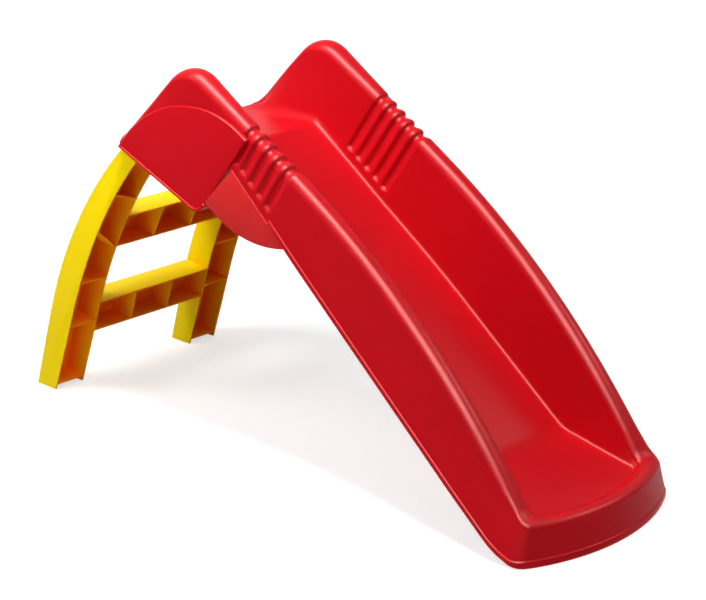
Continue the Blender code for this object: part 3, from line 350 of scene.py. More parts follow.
def rings_mesh(name: str, rings: Sequence[Sequence[Vector]]) -> Mesh:
    """Close a solid through rings that have the same number of points."""
    build = bmesh.new()
    loops = [[build.verts.new(point) for point in ring] for ring in rings]
    for upper, lower in zip(loops, loops[1:]):
        strip(build, upper + upper[:1], lower + lower[:1])
    build.faces.new(loops[0])
    build.faces.new(loops[-1])
    bmesh.ops.recalc_face_normals(build, faces=build.faces)
    return finished(build, name)


def plate_mesh(name: str, outline: Sequence[Pair], near_y: float, far_y: float) -> Mesh:
    """A flat outline in the side view with a thickness across."""
    return rings_mesh(name, [[Vector((x, y, z)) for x, z in outline] for y in (near_y, far_y)])


# Curves in the side view

def unit(way: np.ndarray) -> np.ndarray:
    """Return a direction at length one."""
    return way / np.linalg.norm(way)


def left(way: np.ndarray) -> np.ndarray:
    """Return a direction of the side view turned by a quarter to the left."""
    return np.array((-way[1], way[0]))


def rounded(corners: Sequence[Pair], radii: Sequence[float], step: float) -> np.ndarray:
    """Join corners with straight runs and round each inner corner.

    Args:
        corners: points of the polygon.
        radii: one radius for each inner corner.
        step: largest turn between two points on a rounding, in radians.

    Returns:
        The points of the curve.
    """
    corners = [np.array(corner, float) for corner in corners]
    points = [corners[0]]
    for before, corner, after, radius in zip(corners, corners[1:], corners[2:], radii):
        into, out = unit(corner - before), unit(after - corner)
        turn = atan2(into[0] * out[1] - into[1] * out[0], float(np.dot(into, out)))
        start = corner - into * radius * tan(abs(turn) / 2.0)
        centre = start + left(into) * copysign(radius, turn)
        count = max(2, ceil(abs(turn) / step))
        arm = start - centre
        for i in range(count + 1):
            c, s = cos(turn * i / count), sin(turn * i / count)
            points.append(centre + np.array((arm[0] * c - arm[1] * s, arm[0] * s + arm[1] * c)))
    return np.array(points + [corners[-1]])


def arc(centre: Pair, radius: float, start: float, end: float, count: int) -> list[Pair]:
    """Return points on an arc, angles in radians."""
    angles = np.linspace(start, end, count + 1)
    return [(centre[0] + radius * cos(a), centre[1] + radius * sin(a)) for a in angles]


class SideCurve:
    """A curve in the side view that is read by x or by the length along it."""

    def __init__(self, corners: Sequence[Pair], radii: Sequence[float]) -> None:
        """Round the corners with fine steps."""
        self.points = rounded(corners, radii, radians(1.0))
        runs = np.linalg.norm(np.diff(self.points, axis=0), axis=1)
        self.length = np.concatenate(([0.0], np.cumsum(runs)))

    def height(self, x: float) -> float:
        """Height of the curve at a place along the slide."""
        return float(np.interp(x, self.points[:, 0], self.points[:, 1]))

    def reach(self, x: float) -> float:
        """Length along the curve up to a place along the slide."""
        return float(np.interp(x, self.points[:, 0], self.length))

    def at(self, run: float) -> Pair:
        """Point at a length along the curve."""
        return tuple(float(np.interp(run, self.length, self.points[:, axis])) for axis in (0, 1))


def ease(share: float) -> float:
    """Rise smoothly from nothing at 0 to one at 1."""
    share = min(1.0, max(0.0, share))
    return share * share * (3.0 - 2.0 * share)


@dataclass
class SideShape:
    """The slide seen from the side: trough floor, ridge of the walls and foot of the skirt."""

    rear_x: float = 0.188
    platform_z: float = 0.512
    crease_x: float = 0.370
    arch: Pair = (0.660, 0.305)
    runout: Pair = (0.925, 0.0875)
    runout_end_z: float = 0.052
    floor_radii: Numbers = (0.014, 2.5, 0.070)
    wing_slope: float = radians(43.75)
    wing_foot_z: float = 0.512
    peak_x: float = 0.352
    ridge_radii: Numbers = (0.064, 1.50, 0.040)
    ridge_slope: float = radians(32.05)
    ridge_bend_x: float = 0.8875
    drop_slope: float = radians(54.27)
    lip_z: float = 0.068
    front_x: float = 1.141
    lip_width: float = 0.046
    skirt_top: Pair = (0.468, 0.505)
    skirt_bend: Pair = (0.620, 0.3705)
    skirt_foot_x: float = 1.0606
    foot_radii: Numbers = (0.010, 2.0, 0.140)
    flange_z: float = 0.4955
    floor: SideCurve = field(init=False)
    ridge: SideCurve = field(init=False)
    foot: SideCurve = field(init=False)

    def __post_init__(self) -> None:
        """Work out the three curves."""
        peak_z = self.wing_foot_z + (self.peak_x - self.rear_x) * tan(self.wing_slope)
        bend_z = peak_z - (self.ridge_bend_x - self.peak_x) * tan(self.ridge_slope)
        drop_x = self.ridge_bend_x + (bend_z - self.lip_z) / tan(self.drop_slope)
        self.floor = SideCurve([(self.rear_x, self.platform_z), (self.crease_x, self.platform_z), self.arch,
                                self.runout, (self.front_x - self.lip_width, self.runout_end_z)], self.floor_radii)
        self.ridge = SideCurve([(self.rear_x, self.wing_foot_z), (self.peak_x, peak_z), (self.ridge_bend_x, bend_z),
                                (drop_x, self.lip_z), (self.front_x, self.lip_z)], self.ridge_radii)
        self.foot = SideCurve([(self.rear_x, self.flange_z), self.skirt_top, self.skirt_bend,
                               (self.skirt_foot_x, 0.0), (self.front_x, 0.0)], self.foot_radii)


class Point(NamedTuple):
    """A point of a cross-section, with what a groove and the outer skin do there."""

    place: Vector
    way: Vector = NOWHERE
    end: float = -1.0
    proud: Vector = NOWHERE


@dataclass
class Section:
    """One cross-section of the half shell: floor edge, ridge, skirt and the way outwards."""

    floor: Vector
    ridge: Vector
    skirt: Vector
    out: Vector
    rib_run: float = -1.0
    stretch: float = 1.0
    band: float = 0.0095
    step: float = 0.0
    fillet: float = 0.008
    spread: float = 0.0
    shift: float = 0.0
    half_width: float = 0.0190
    shoulder: float = 0.012
    rib_clear: float = 0.0045
    foot_clear: float = 0.0015
    step_ramp: float = 0.0024
    fine_step: float = 0.0016
    fine_share: float = 0.045
    crest_share: float = 0.62
    fillet_share: float = 0.45
    floor_stops: Pair = (0.5, 0.85)
    falls: Numbers = (0.0006, 0.0012, 0.0018, 0.0024)
    last_fall: float = 0.001

    def columns(self) -> list[Point]:
        """Follow the section from the middle of the floor to the foot of the skirt.

        Returns:
            For each point its place, the way in which a groove sinks there, the distance
            to the end of the groove, and how far the outer skin stands proud.
        """
        up = self.ridge - self.floor
        up -= self.out * up.dot(self.out)
        height = up.length
        up.normalize()
        half = self.half_width * self.stretch + self.spread
        inner_rise = min(self.half_width, self.crest_share * height)
        outer_rise = max(inner_rise, self.shoulder)
        crest = self.ridge + self.out * self.shift
        inner_top = crest - up * inner_rise - self.out * half
        outer_top = crest - up * outer_rise + self.out * half
        wall = inner_top - self.floor
        fillet = min(self.fillet, self.fillet_share * wall.length)
        start = self.floor - self.out * fillet
        landing = self.floor + wall.normalized() * fillet
        middle = Vector((start.x, 0.0, start.z))
        rows = [Point(middle)] + [Point(middle.lerp(start, t)) for t in self.floor_stops]
        rows += [Point(start * (1 - t) ** 2 + self.floor * (2 * t * (1 - t)) + landing * t * t)
                 for t in np.linspace(0.0, 1.0, 9)]
        run = (inner_top - landing).length
        near = min(self.fine_step, self.fine_share * run)
        places = [near * i for i in range(1, 9)] + list(np.linspace(near * 8, run, 8)[1:])
        rows += [Point(landing.lerp(inner_top, place / run), self.out, place - self.rib_clear) for place in places]
        for degrees in np.linspace(180.0, 0.0, 25)[1:-1]:
            angle = radians(degrees)
            rise = inner_rise if degrees > 90.0 else outer_rise
            normal = self.out * cos(angle) + up * sin(angle)
            drop = rise * (1.0 - sin(angle))
            rows.append(Point(crest + self.out * half * cos(angle) - up * drop, -normal, 1.0))
        foot = self.skirt - self.out * self.step
        band_top = foot + up * self.band
        run = (outer_top - band_top).length
        near = min(self.fine_step, self.fine_share * run)
        places = list(np.linspace(run, near * 7, 8)) + [near * i for i in range(6, -1, -1)]
        rows += [Point(band_top.lerp(outer_top, place / run), -self.out, place - self.foot_clear) for place in places]
        for fall in (*self.falls, 0.5 * self.band + self.last_fall, self.band):
            proud = self.out * self.step * ease(fall / self.step_ramp)
            rows.append(Point(band_top.lerp(foot, min(1.0, fall / self.band)), proud=proud))
        return rows


@dataclass
class ChuteShell:
    """The red moulding's shell: platform, wings, ribbed walls, trough, run-out and skirt."""

    shape: SideShape
    floor_half: float = 0.116
    runout_half: float = 0.130
    ridge_gauge: float = 0.155
    wall_foot_half: float = 0.1840
    wall_flare: float = 0.0110
    wall_flare_end_x: float = 0.950
    wall_rear_half: float = 0.1975
    wing_spread: float = 0.0095
    wing_spread_end_x: float = 0.550
    wing_shift_end_x: float = 0.290
    fan_x: float = 0.275
    rib_gap: float = 0.003
    runout_keys: tuple[Numbers, ...] = ((0.899, 0.955, 0.920, -0.004), (0.945, 0.985, 0.965, -0.001),
                                        (1.039, 1.043, 1.051, 0.0))
    chute_parts: tuple[int, ...] = (2, 34, 14, 14)
    saddle_stops: Numbers = (0.312, 0.316, 0.394, 0.399)
    saddle_parts: tuple[int, ...] = (18, 26, 16)
    saddle_rate: float = 1.1
    crease_steps: Numbers = (-0.006, -0.003, 0.0, 0.003, 0.006)
    crease_clear: float = 0.0022
    least_wall: float = 0.004
    saddle_fillet: float = 0.026
    floor_fillet: float = 0.008
    saddle_band: float = 0.004
    band: float = 0.0095
    front_band: float = 0.0130
    band_step: float = 0.0022
    front_radius: float = 0.390
    corner_radius: float = 0.028
    lip_corner_radius: float = 0.018
    lip_crest_share: float = 0.455
    lip_broaden: float = 0.195
    rib_ridge_x: float = 0.494
    rib_floor_x: float = 0.430
    rib_foot_x: float = 0.456
    rib_pitch: float = 0.0243
    rib_count: int = 5
    rib_depth: float = 0.0056
    rib_rise: float = 0.30
    rib_end: float = 0.0100
    rear_sweep: float = 0.0170
    sweep_half: float = 0.1480
    sweep_length: float = 0.100
    sweep_power: float = 1.5
    panel_half: float = 0.1990

    def side(self, floor_x: float, ridge_x: float, skirt: Pair, floor_half: float, wall_half: float,
             **options) -> Section:
        """Make a cross-section of the straight sides from its places in the side view."""
        floor_z = self.shape.floor.height(floor_x)
        ridge_z = max(self.shape.ridge.height(ridge_x), floor_z + self.least_wall)
        return Section(Vector((floor_x, floor_half, floor_z)), Vector((ridge_x, self.ridge_gauge, ridge_z)),
                       Vector((skirt[0], wall_half + options.get("step", 0.0), skirt[1])),
                       Vector((0.0, 1.0, 0.0)), spread=self.widening(ridge_x, self.wing_spread_end_x), **options)

    def widening(self, x: float, end_x: float) -> float:
        """How far the wing is widened at a place: most at the rear, nothing from end_x on."""
        return self.wing_spread * ease((end_x - x) / (end_x - self.shape.rear_x))

    def past(self, run: float) -> list[Pair]:
        """Points on floor, ridge and foot, a length on from the start of the first groove."""
        shape = self.shape
        starts = ((shape.floor, self.rib_floor_x), (shape.ridge, self.rib_ridge_x), (shape.foot, self.rib_foot_x))
        return [curve.at(curve.reach(x) + run) for curve, x in starts]

    def foot_half(self, x: float) -> float:
        """Half width at the foot of the walls, which flares towards the front."""
        start = self.past(self.rib_pitch * self.rib_count)[2][0]
        return self.wall_foot_half + self.wall_flare * min(1.0, max(0.0, (x - start) / (self.wall_flare_end_x - start)))

    def saddle(self) -> list[Section]:
        """Sections of the platform and its wings, from the rear edge to the first rib."""
        shape, fan_x = self.shape, self.fan_x
        rate = (self.rib_ridge_x - fan_x) / (self.rib_floor_x - fan_x)
        stops = np.array((shape.rear_x, *self.saddle_stops, self.rib_ridge_x)).reshape(-1, 2)
        places = [x for (start, end), parts in zip(stops, self.saddle_parts) for x in np.linspace(start, end, parts)]
        crease = [fan_x + (shape.crease_x + d - fan_x) * rate for d in self.crease_steps]
        places = [x for x in places if min(abs(x - c) for c in crease) > self.crease_clear] + crease
        sections = []
        for ridge_x in sorted(places):
            floor_x = ridge_x if ridge_x < fan_x else fan_x + (ridge_x - fan_x) / rate
            share = (ridge_x - shape.rear_x) / (self.rib_ridge_x - shape.rear_x)
            skirt_x = shape.rear_x + share * (self.rib_foot_x - shape.rear_x)
            narrowed = (self.wall_foot_half - self.wall_rear_half) * min(1.0, share * self.saddle_rate)
            fillet = self.saddle_fillet + (self.floor_fillet - self.saddle_fillet) * share ** 2
            sections.append(self.side(floor_x, ridge_x, (skirt_x, shape.foot.height(skirt_x)), self.floor_half,
                                      self.wall_rear_half + narrowed, band=self.saddle_band, fillet=fillet,
                                      shift=self.widening(ridge_x, self.wing_shift_end_x)))
        return sections

    def ribs(self, per_rib: int = 18) -> list[Section]:
        """Sections across the grooves, spaced evenly along floor, ridge and skirt."""
        sections = []
        for number in range(1, self.rib_count * per_rib + 1):
            run = self.rib_pitch * number / per_rib
            floor, ridge, foot = self.past(run)
            sections.append(self.side(floor[0], ridge[0], foot, self.floor_half, self.wall_foot_half, rib_run=run))
        return sections

    def chute(self) -> list[Section]:
        """Plain sections from the last rib to the corner of the run-out.

        Each key holds x on the floor, the ridge and the skirt, and the floor's half width,
        which runout_keys gives as what it adds to the run-out's.
        """
        ribbed = self.rib_pitch * self.rib_count
        keys = [(*(point[0] for point in self.past(run)), self.floor_half) for run in (ribbed, ribbed + self.rib_gap)]
        keys += [(*places, self.runout_half + more) for *places, more in self.runout_keys]
        sections = []
        for number, (start, end, parts) in enumerate(zip(keys, keys[1:], self.chute_parts)):
            for i in range(1, parts + 1):
                t = i / parts
                floor_x, ridge_x, skirt_x, floor_half = (a + (b - a) * t for a, b in zip(start, end))
                step = self.band_step * (ease(t) if number == 0 else 1.0)
                sections.append(self.side(floor_x, ridge_x, (skirt_x, self.shape.foot.height(skirt_x)), floor_half,
                                          self.foot_half(skirt_x), step=step, band=self.band))
        return sections

    @staticmethod
    def plan(front_x: float, radius: float, half: float, corner_radius: float, parts: tuple[int, int]) -> list[Pair]:
        """Plan points round one front corner and along the bowed front to the middle line."""
        centre_x = front_x - radius
        inset = half - corner_radius
        corner_x = centre_x + sqrt((radius - corner_radius) ** 2 - inset ** 2)
        meet = atan2(inset, corner_x - centre_x)
        points = arc((corner_x, inset), corner_radius, pi / 2, meet, parts[0])
        return points + arc((centre_x, 0.0), radius, meet, 0.0, parts[1])[1:]

    def front(self) -> list[Section]:
        """Sections round the corner and across the front lip, to the middle line."""
        shape, parts = self.shape, (16, 14)
        skirt_half = self.wall_foot_half + self.wall_flare + self.band_step
        inner = self.plan(shape.front_x - shape.lip_width, self.front_radius - shape.lip_width, self.runout_half,
                          self.lip_corner_radius, parts)
        outer = self.plan(shape.front_x, self.front_radius, skirt_half, self.corner_radius, parts)
        gauge = (self.ridge_gauge - self.runout_half) / (skirt_half - self.runout_half)
        sections = []
        for number, (a, b) in enumerate(zip(inner, outer)):
            out = Vector((b[0] - a[0], b[1] - a[1], 0.0))
            width = out.length
            out.normalize()
            share = min(1.0, number / parts[0])
            crest = gauge + (self.lip_crest_share - gauge) * share
            ridge = Vector((*a, 0.0)).lerp(Vector((*b, 0.0)), crest)
            ridge.z = shape.ridge.height(ridge.x)
            sections.append(Section(Vector((*a, shape.floor.height(a[0]))), ridge,
                                    Vector((*b, shape.foot.height(b[0]))), out, step=self.band_step,
                                    stretch=width / (skirt_half - self.runout_half) * (1.0 + self.lip_broaden * share),
                                    band=self.band + (self.front_band - self.band) * share))
        return sections

    @staticmethod
    def normals(base: np.ndarray) -> np.ndarray:
        """Outward normals of a grid of points. A point that has none takes the one of the point before."""
        across = np.gradient(base, axis=1)
        across[:, 0, 0] = across[:, 0, 2] = 0.0
        normal = np.cross(np.gradient(base, axis=0), across)
        length = np.linalg.norm(normal, axis=2)
        bare = length < NEXT_TO_NOTHING
        normal /= np.where(bare, 1.0, length)[..., None]
        for r, c in zip(*np.nonzero(bare)):
            normal[r, c] = normal[r - 1, c]
        normal[:, 0, 1] = 0.0
        return -normal if normal[len(base) // 2, 0, 2] < 0.0 else normal

    def skins(self) -> Mesh:
        """Make the whole shell as two skins and their rims, with what the ribs need as attributes."""
        sections = self.saddle() + self.ribs() + self.chute() + self.front()
        table = [section.columns() for section in sections]
        base, ways, proud = (np.array([[tuple(getattr(point, key)) for point in row] for row in table])
                             for key in ("place", "way", "proud"))
        side = np.clip((base[..., 1] - self.sweep_half) / (self.panel_half - self.sweep_half), 0.0, None)
        fade = np.clip(1.0 - (base[..., 0] - self.shape.rear_x) / self.sweep_length, 0.0, None)
        base[..., 0] += self.rear_sweep * side ** self.sweep_power * fade
        base[..., 0] -= CENTRE_X
        outer, inner = base + proud, base - self.normals(base) * WALL
        build = bmesh.new()
        run, end = (build.verts.layers.float.new(key) for key in ("rib_run", "rib_end"))
        way = build.verts.layers.float_vector.new("rib_way")
        grids = []
        for flip in (np.array((1.0, 1.0, 1.0)), np.array((1.0, -1.0, 1.0))):
            for skin in (outer, inner):
                grid = [[build.verts.new(point * flip) for point in row] for row in skin]
                for r, row in enumerate(grid):
                    for c, vert in enumerate(row):
                        vert[run], vert[end] = sections[r].rib_run, float(table[r][c].end)
                        vert[way] = Vector(ways[r, c] * flip)
                grids.append(grid)
        for grid in grids:
            for upper, lower in zip(grid, grid[1:]):
                strip(build, upper, lower)
        for top, under in zip(grids[::2], grids[1::2]):
            strip(build, [row[-1] for row in top], [row[-1] for row in under])
            strip(build, top[0], under[0])
        weld(build, SEAM)
        return finished(build, "slide_shell")

    def rib_tree(self, names: Iterable[str]) -> NodeTree:
        """Build the tree that sinks the grooves into both skins, each with rounded ends."""
        tree = bpy.data.node_groups.new("wall_ribs", "GeometryNodeTree")
        for name in ("Geometry", *names):
            kind = name if name in ("Geometry", "Material") else "Float"
            tree.interface.new_socket(name=name, in_out="INPUT", socket_type=f"NodeSocket{kind}")
        tree.interface.new_socket(name="Geometry", in_out="OUTPUT", socket_type="NodeSocketGeometry")
        nodes = Nodes(tree)
        do, given = nodes.math, nodes.node("NodeGroupInput").outputs

        def attribute(name: str, kind: str = "FLOAT") -> Node:
            """Read one of the shell's named attributes."""
            return nodes.node("GeometryNodeInputNamedAttribute", {"data_type": kind}, Name=name)

        run = do("DIVIDE", attribute("rib_run"), given["Pitch"])
        phase = do("FRACT", run)
        before = do("DIVIDE", do("SUBTRACT", given["Rise"], phase), given["Rise"])
        after = do("DIVIDE", do("SUBTRACT", phase, given["Rise"]), do("SUBTRACT", 1.0, given["Rise"]))
        aside = do("MAXIMUM", before, after)
        ending = do("DIVIDE", attribute("rib_end"), given["End radius"])
        beyond = do("MAXIMUM", 0.0, do("SUBTRACT", 1.0, ending))
        squares = do("ADD", do("POWER", aside, 2.0), do("POWER", beyond, 2.0))
        angle = do("MULTIPLY", do("MINIMUM", do("SQRT", squares), 1.0), 0.5 * pi)
        wave = do("POWER", do("COSINE", angle), 2.0)
        inside = do("MULTIPLY", do("GREATER_THAN", run, 0.0), do("LESS_THAN", run, given["Count"]))
        depth = do("MULTIPLY", do("MULTIPLY", wave, inside), given["Depth"])
        scale = nodes.node("ShaderNodeVectorMath", {"operation": "SCALE"}, Scale=depth)
        nodes.join(scale, 0, attribute("rib_way", "FLOAT_VECTOR"))
        move = nodes.node("GeometryNodeSetPosition", Geometry=given["Geometry"], Offset=scale)
        realize = nodes.node("GeometryNodeRealizeInstances", Geometry=move)
        dress = nodes.node("GeometryNodeSetMaterial", Geometry=realize, Material=given["Material"])
        nodes.node("NodeGroupOutput", Geometry=dress)
        return tree

    def build(self, material: Material) -> Object:
        """Make the ribbed shell as one plain mesh."""
        item = link("slide_shell", self.skins())
        values = {"Pitch": self.rib_pitch, "Depth": self.rib_depth, "Rise": self.rib_rise,
                  "Count": float(self.rib_count), "End radius": self.rib_end, "Material": material}
        ribs = item.modifiers.new("ribs", "NODES")
        ribs.node_group = self.rib_tree(values)
        for socket in ribs.node_group.interface.items_tree:
            if socket.in_out == "INPUT" and socket.name in values:
                ribs[socket.identifier] = values[socket.name]
        return plain(item)


@dataclass
class HingePocket:
    """The panel over a hinge pocket with its hollow, rim and axle seats, on the +Y side."""

    shape: SideShape
    half: float = 0.1990
    root_half: float = 0.1710
    deep_half: float = 0.1500
    draft: float = 0.109
    arch: Pair = (0.380, 0.386)
    arch_radius: float = 0.2100
    arch_fall: float = 0.0040
    edge_round: float = 0.0035
    low: Pair = (0.4031, 0.4186)
    rear: Pair = (0.2030, 0.5010)
    corner_radius: float = 0.024
    front_angle: float = radians(55.7)
    rim: float = 0.0048
    open_drop: float = 0.040
    hinge: Pair = (0.375, 0.468)
    axle_radius: float = 0.0060
    cap_radius: float = 0.0080
    running: float = 0.0003
    flank: float = 2.2
    flank_rise: float = 0.0006
    edge_slide: float = 0.35
    rear_inset: Pair = (1.2, -0.5)
    mouth_share: float = 0.88
    cradle_radius: float = 0.0125
    cradle_span: Pair = (0.1090, 0.1150)
    cradle_spread: float = 0.022
    ring_length: float = 0.0070
    sink: float = 0.6 * WALL
    bite: float = 0.1 * WALL
    bead_starts: Pair = (0.004, 0.006)
    bead_over: float = 0.004
    bead: tuple[Pair, ...] = ((-0.4 * WALL, 0.0), (0.0008, 0.0), (0.0014, 0.0003), (0.0019, 0.0008),
                              (0.0022, 0.0016))
    up: np.ndarray = field(init=False)
    across: np.ndarray = field(init=False)
    run: np.ndarray = field(init=False)

    def __post_init__(self) -> None:
        """Work out the directions along and across the front edge, and along the lower edge."""
        self.up = np.array((cos(self.front_angle), sin(self.front_angle)))
        self.across = -left(self.up)
        self.run = unit(np.array(self.low) - np.array(self.rear))

    def height(self, x: float, z: float) -> float:
        """Distance of a place in the side view above the panel's lower edge."""
        return float((z - self.low[1]) * self.run[0] - (x - self.low[0]) * self.run[1])

    def placed(self, outline: Iterable[Pair], half: float, draft: float) -> list[Vector]:
        """Lift an outline of the side view to a distance from the middle plane, less its draft."""
        return [Vector((x - CENTRE_X, half - draft * self.height(x, z), z)) for x, z in outline]

    def inside_half(self) -> float:
        """Distance of the panel's inner face from the middle plane, at the axle."""
        return self.half - WALL - self.draft * self.height(*self.hinge)

    def ring(self, half: float, radius: float, inset: float = 0.0, drop: float = 0.0,
             draft: Optional[float] = None) -> list[Vector]:
        """Closed outline of the pocket at one distance from the middle plane."""
        up, centre = self.up, np.array(self.arch)
        low = np.array(self.low) - self.across * inset
        away = low - centre
        along = float(np.dot(away, up))
        top = low + up * (-along + sqrt(along ** 2 - float(np.dot(away, away)) + radius ** 2))
        rear = np.array(self.rear) + np.array(self.rear_inset) * inset
        back = centre - rear
        distance = float(np.linalg.norm(back))
        lean = atan2(back[1], back[0]) + asin(radius / distance)
        tangent = rear + np.array((cos(lean), sin(lean))) * sqrt(distance ** 2 - radius ** 2)
        starts = (atan2(point[1] - centre[1], point[0] - centre[0]) for point in (top, tangent))
        points = arc(centre, radius, *starts, 48) + [tuple(rear)]
        if drop:
            points += [tuple(rear - np.array((0.0, drop))), tuple(low - up * drop)]
        else:
            points += [tuple(p) for p in rounded([rear, low, top], [self.corner_radius], radians(7.0))[1:-1]]
        return self.placed(points, half, self.draft if draft is None else draft)

    def block(self) -> Mesh:
        """The outside of the pocket, its edge rounded in fine steps."""
        edge = self.edge_round
        rings = [self.ring(self.root_half, self.arch_radius - self.arch_fall, draft=0.0),
                 self.ring(self.half - self.flank * edge, self.arch_radius + self.flank_rise)]
        for degrees in range(0, 91, 18):
            fall = edge * (1.0 - cos(radians(degrees)))
            rings.append(self.ring(self.half - edge * (1.0 - sin(radians(degrees))), self.arch_radius - fall,
                                   self.edge_slide * fall))
        return rings_mesh("pocket_block", rings)

    def bore(self) -> Mesh:
        """The hollow of the pocket, open downwards."""
        radius = self.arch_radius - self.arch_fall - WALL
        return rings_mesh("pocket_bore", [self.ring(self.deep_half, radius, WALL, self.open_drop, 0.0),
                                          self.ring(self.half - WALL, radius, WALL, self.open_drop)])

    def band(self) -> Mesh:
        """The raised band along the lower edge and round the front corner, with a soft edge."""
        low, rear, up, run = np.array(self.low), np.array(self.rear), self.up, self.run
        lift = left(run)
        turn = acos(float(np.dot(run, up)))
        end = low + up * (self.corner_radius * tan(0.5 * turn) + self.bead_over)
        inner_low = low + lift * self.rim - run * self.rim / tan(0.5 * (pi - turn))
        step = radians(6.0)
        outer = rounded([rear + run * self.bead_starts[0], low, end], [self.corner_radius], step)
        inner = rounded([rear + lift * self.rim + run * self.bead_starts[1], inner_low,
                         end - self.across * self.rim], [self.corner_radius - self.rim], step)
        outline = np.array(list(outer) + list(inner[::-1]))
        before, after = np.roll(outline, 1, axis=0), np.roll(outline, -1, axis=0)
        tangent = (after - before) / np.linalg.norm(after - before, axis=1)[:, None]
        area = float(np.sum(outline[:, 0] * after[:, 1] - outline[:, 1] * after[:, 0]))
        inward = np.stack((-tangent[:, 1], tangent[:, 0]), axis=1) * copysign(1.0, area)
        return rings_mesh("pocket_band", [self.placed(outline + inward * inset, self.half + rise, self.draft)
                                          for rise, inset in self.bead])

    def seat(self, bore: float, outside: float, top: Optional[list[Pair]], near: float, far: float) -> Mesh:
        """A seat round the axle that is open downwards, with a narrowed mouth."""
        mouth = bore * self.mouth_share
        outer_start = atan2(-sqrt(outside ** 2 - mouth ** 2), mouth)
        inner_start = atan2(-sqrt(bore ** 2 - mouth ** 2), mouth)
        if top:
            points = arc(self.hinge, outside, outer_start, 0.0, 10) + top
            points += arc(self.hinge, outside, pi, pi - outer_start, 10)
        else:
            points = arc(self.hinge, outside, outer_start, pi - outer_start, 40)
        points += arc(self.hinge, bore, pi - inner_start, inner_start, 40)
        return plate_mesh("axle_seat", [(x - CENTRE_X, z) for x, z in points], near, far)

    def seats(self) -> list[Mesh]:
        """The cradle under the platform and the ring that holds the axle's end."""
        spread, axle_x = self.cradle_spread, self.hinge[0]
        top = [(x, self.shape.floor.height(x) - self.sink)
               for x in (axle_x + spread, axle_x + 0.3 * spread, self.shape.crease_x - 0.3 * spread, axle_x - spread)]
        outside = self.cap_radius + self.running + WALL
        wall = self.inside_half() + self.draft * outside
        return [self.seat(self.axle_radius + self.running, self.cradle_radius, top, *self.cradle_span),
                self.seat(self.cap_radius + self.running, outside, None, wall - self.ring_length, wall + self.bite)]


@dataclass
class SlideBody:
    """The red moulding as a whole: shell, hinge pockets and rear flange in one piece."""

    shape: SideShape
    flange_half: float = 0.1450
    flange_back: float = 0.0006
    flange_sink: float = 0.3 * WALL
    sharp: float = 32.0

    def flange(self) -> Mesh:
        """The wall that closes the rear edge of the platform."""
        back = self.shape.rear_x - self.flange_back - CENTRE_X
        low, top = self.shape.flange_z, self.shape.platform_z - self.flange_sink
        outline = [(back, low), (back + WALL, low), (back + WALL, top), (back, top)]
        return plate_mesh("rear_flange", outline, -self.flange_half, self.flange_half)

    def build(self, material: Material) -> Object:
        """Make the moulding, let it ride on the slide and stand for its CAD node."""
        item = ChuteShell(self.shape).build(material)
        pocket = HingePocket(self.shape)
        block, bore = pocket.block(), pocket.bore()
        work_on(item, gather("pocket_blocks", [block, mirrored(block)]), Tool.JOIN)
        work_on(item, gather("pocket_bores", [bore, mirrored(bore)]), Tool.CUT)
        extras = [pocket.band()] + pocket.seats()
        extras += [mirrored(mesh) for mesh in extras] + [self.flange()]
        work_on(item, gather("pocket_extras", extras), Tool.JOIN)
        with opened(item.data) as build:
            weld(build, MERGE)
        smooth(item, self.sharp)
        coat(item, material)
        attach(item, "slide")
        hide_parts("slide_body")
        return item


@dataclass
class BevelledNode:
    """A moulding whose CAD shape is right and whose edges get their real radii."""

    node: str
    name: str
    body: str
    slot: str
    width: float
    segments: int = 3
    limit: float = 32.0
    flat: float = 0.4
    merge: float = 0.00003
    sharp: float = 40.0

    def shape(self, mesh: Mesh) -> None:
        """Change the copied mesh before its edges are rounded; a plain node stays as it is."""

    def colour_map(self, item: Object) -> None:
        """Add what the finish reads from the mesh; a plain node has nothing."""

    def build(self, material: Material) -> Object:
        """Merge a copy of the node, round its edges and let it stand for the node."""
        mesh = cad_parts[self.node].data.copy()
        mesh.name = self.name
        with opened(mesh) as build:
            bmesh.ops.remove_doubles(build, verts=build.verts, dist=self.merge)
            bmesh.ops.dissolve_limit(build, angle_limit=radians(self.flat), verts=build.verts, edges=build.edges)
        self.shape(mesh)
        item = link(self.name, mesh)
        bevel(item, self.width, self.segments, self.limit)
        smooth(item, self.sharp)
        self.colour_map(item)
        coat(item, material)
        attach(item, self.body)
        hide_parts(self.node)
        return item


@dataclass
class GuardCover(BevelledNode):
    """An ear-shaped cover whose face leans in towards the wall at its top edge."""

    top: Pair = (0.4735, 0.5050)
    run: Pair = (0.7135, -0.7007)
    outside: float = 0.1900
    lean: Triple = (-0.0025, 0.0115, 0.0010)
    reach: float = 0.0900

    def shape(self, mesh: Mesh) -> None:
        """Shear the outer face inwards, most at the edge that follows the wall's foot."""
        for vert in mesh.vertices:
            if abs(vert.co.y) < self.outside:
                continue
            x, z = vert.co.x + CENTRE_X - self.top[0], vert.co.z - self.top[1]
            down = x * self.run[1] - z * self.run[0]
            share = 1.0 - down / self.reach
            vert.co += Vector(self.lean) * share * Vector((1.0, copysign(1.0, -vert.co.y), 1.0))


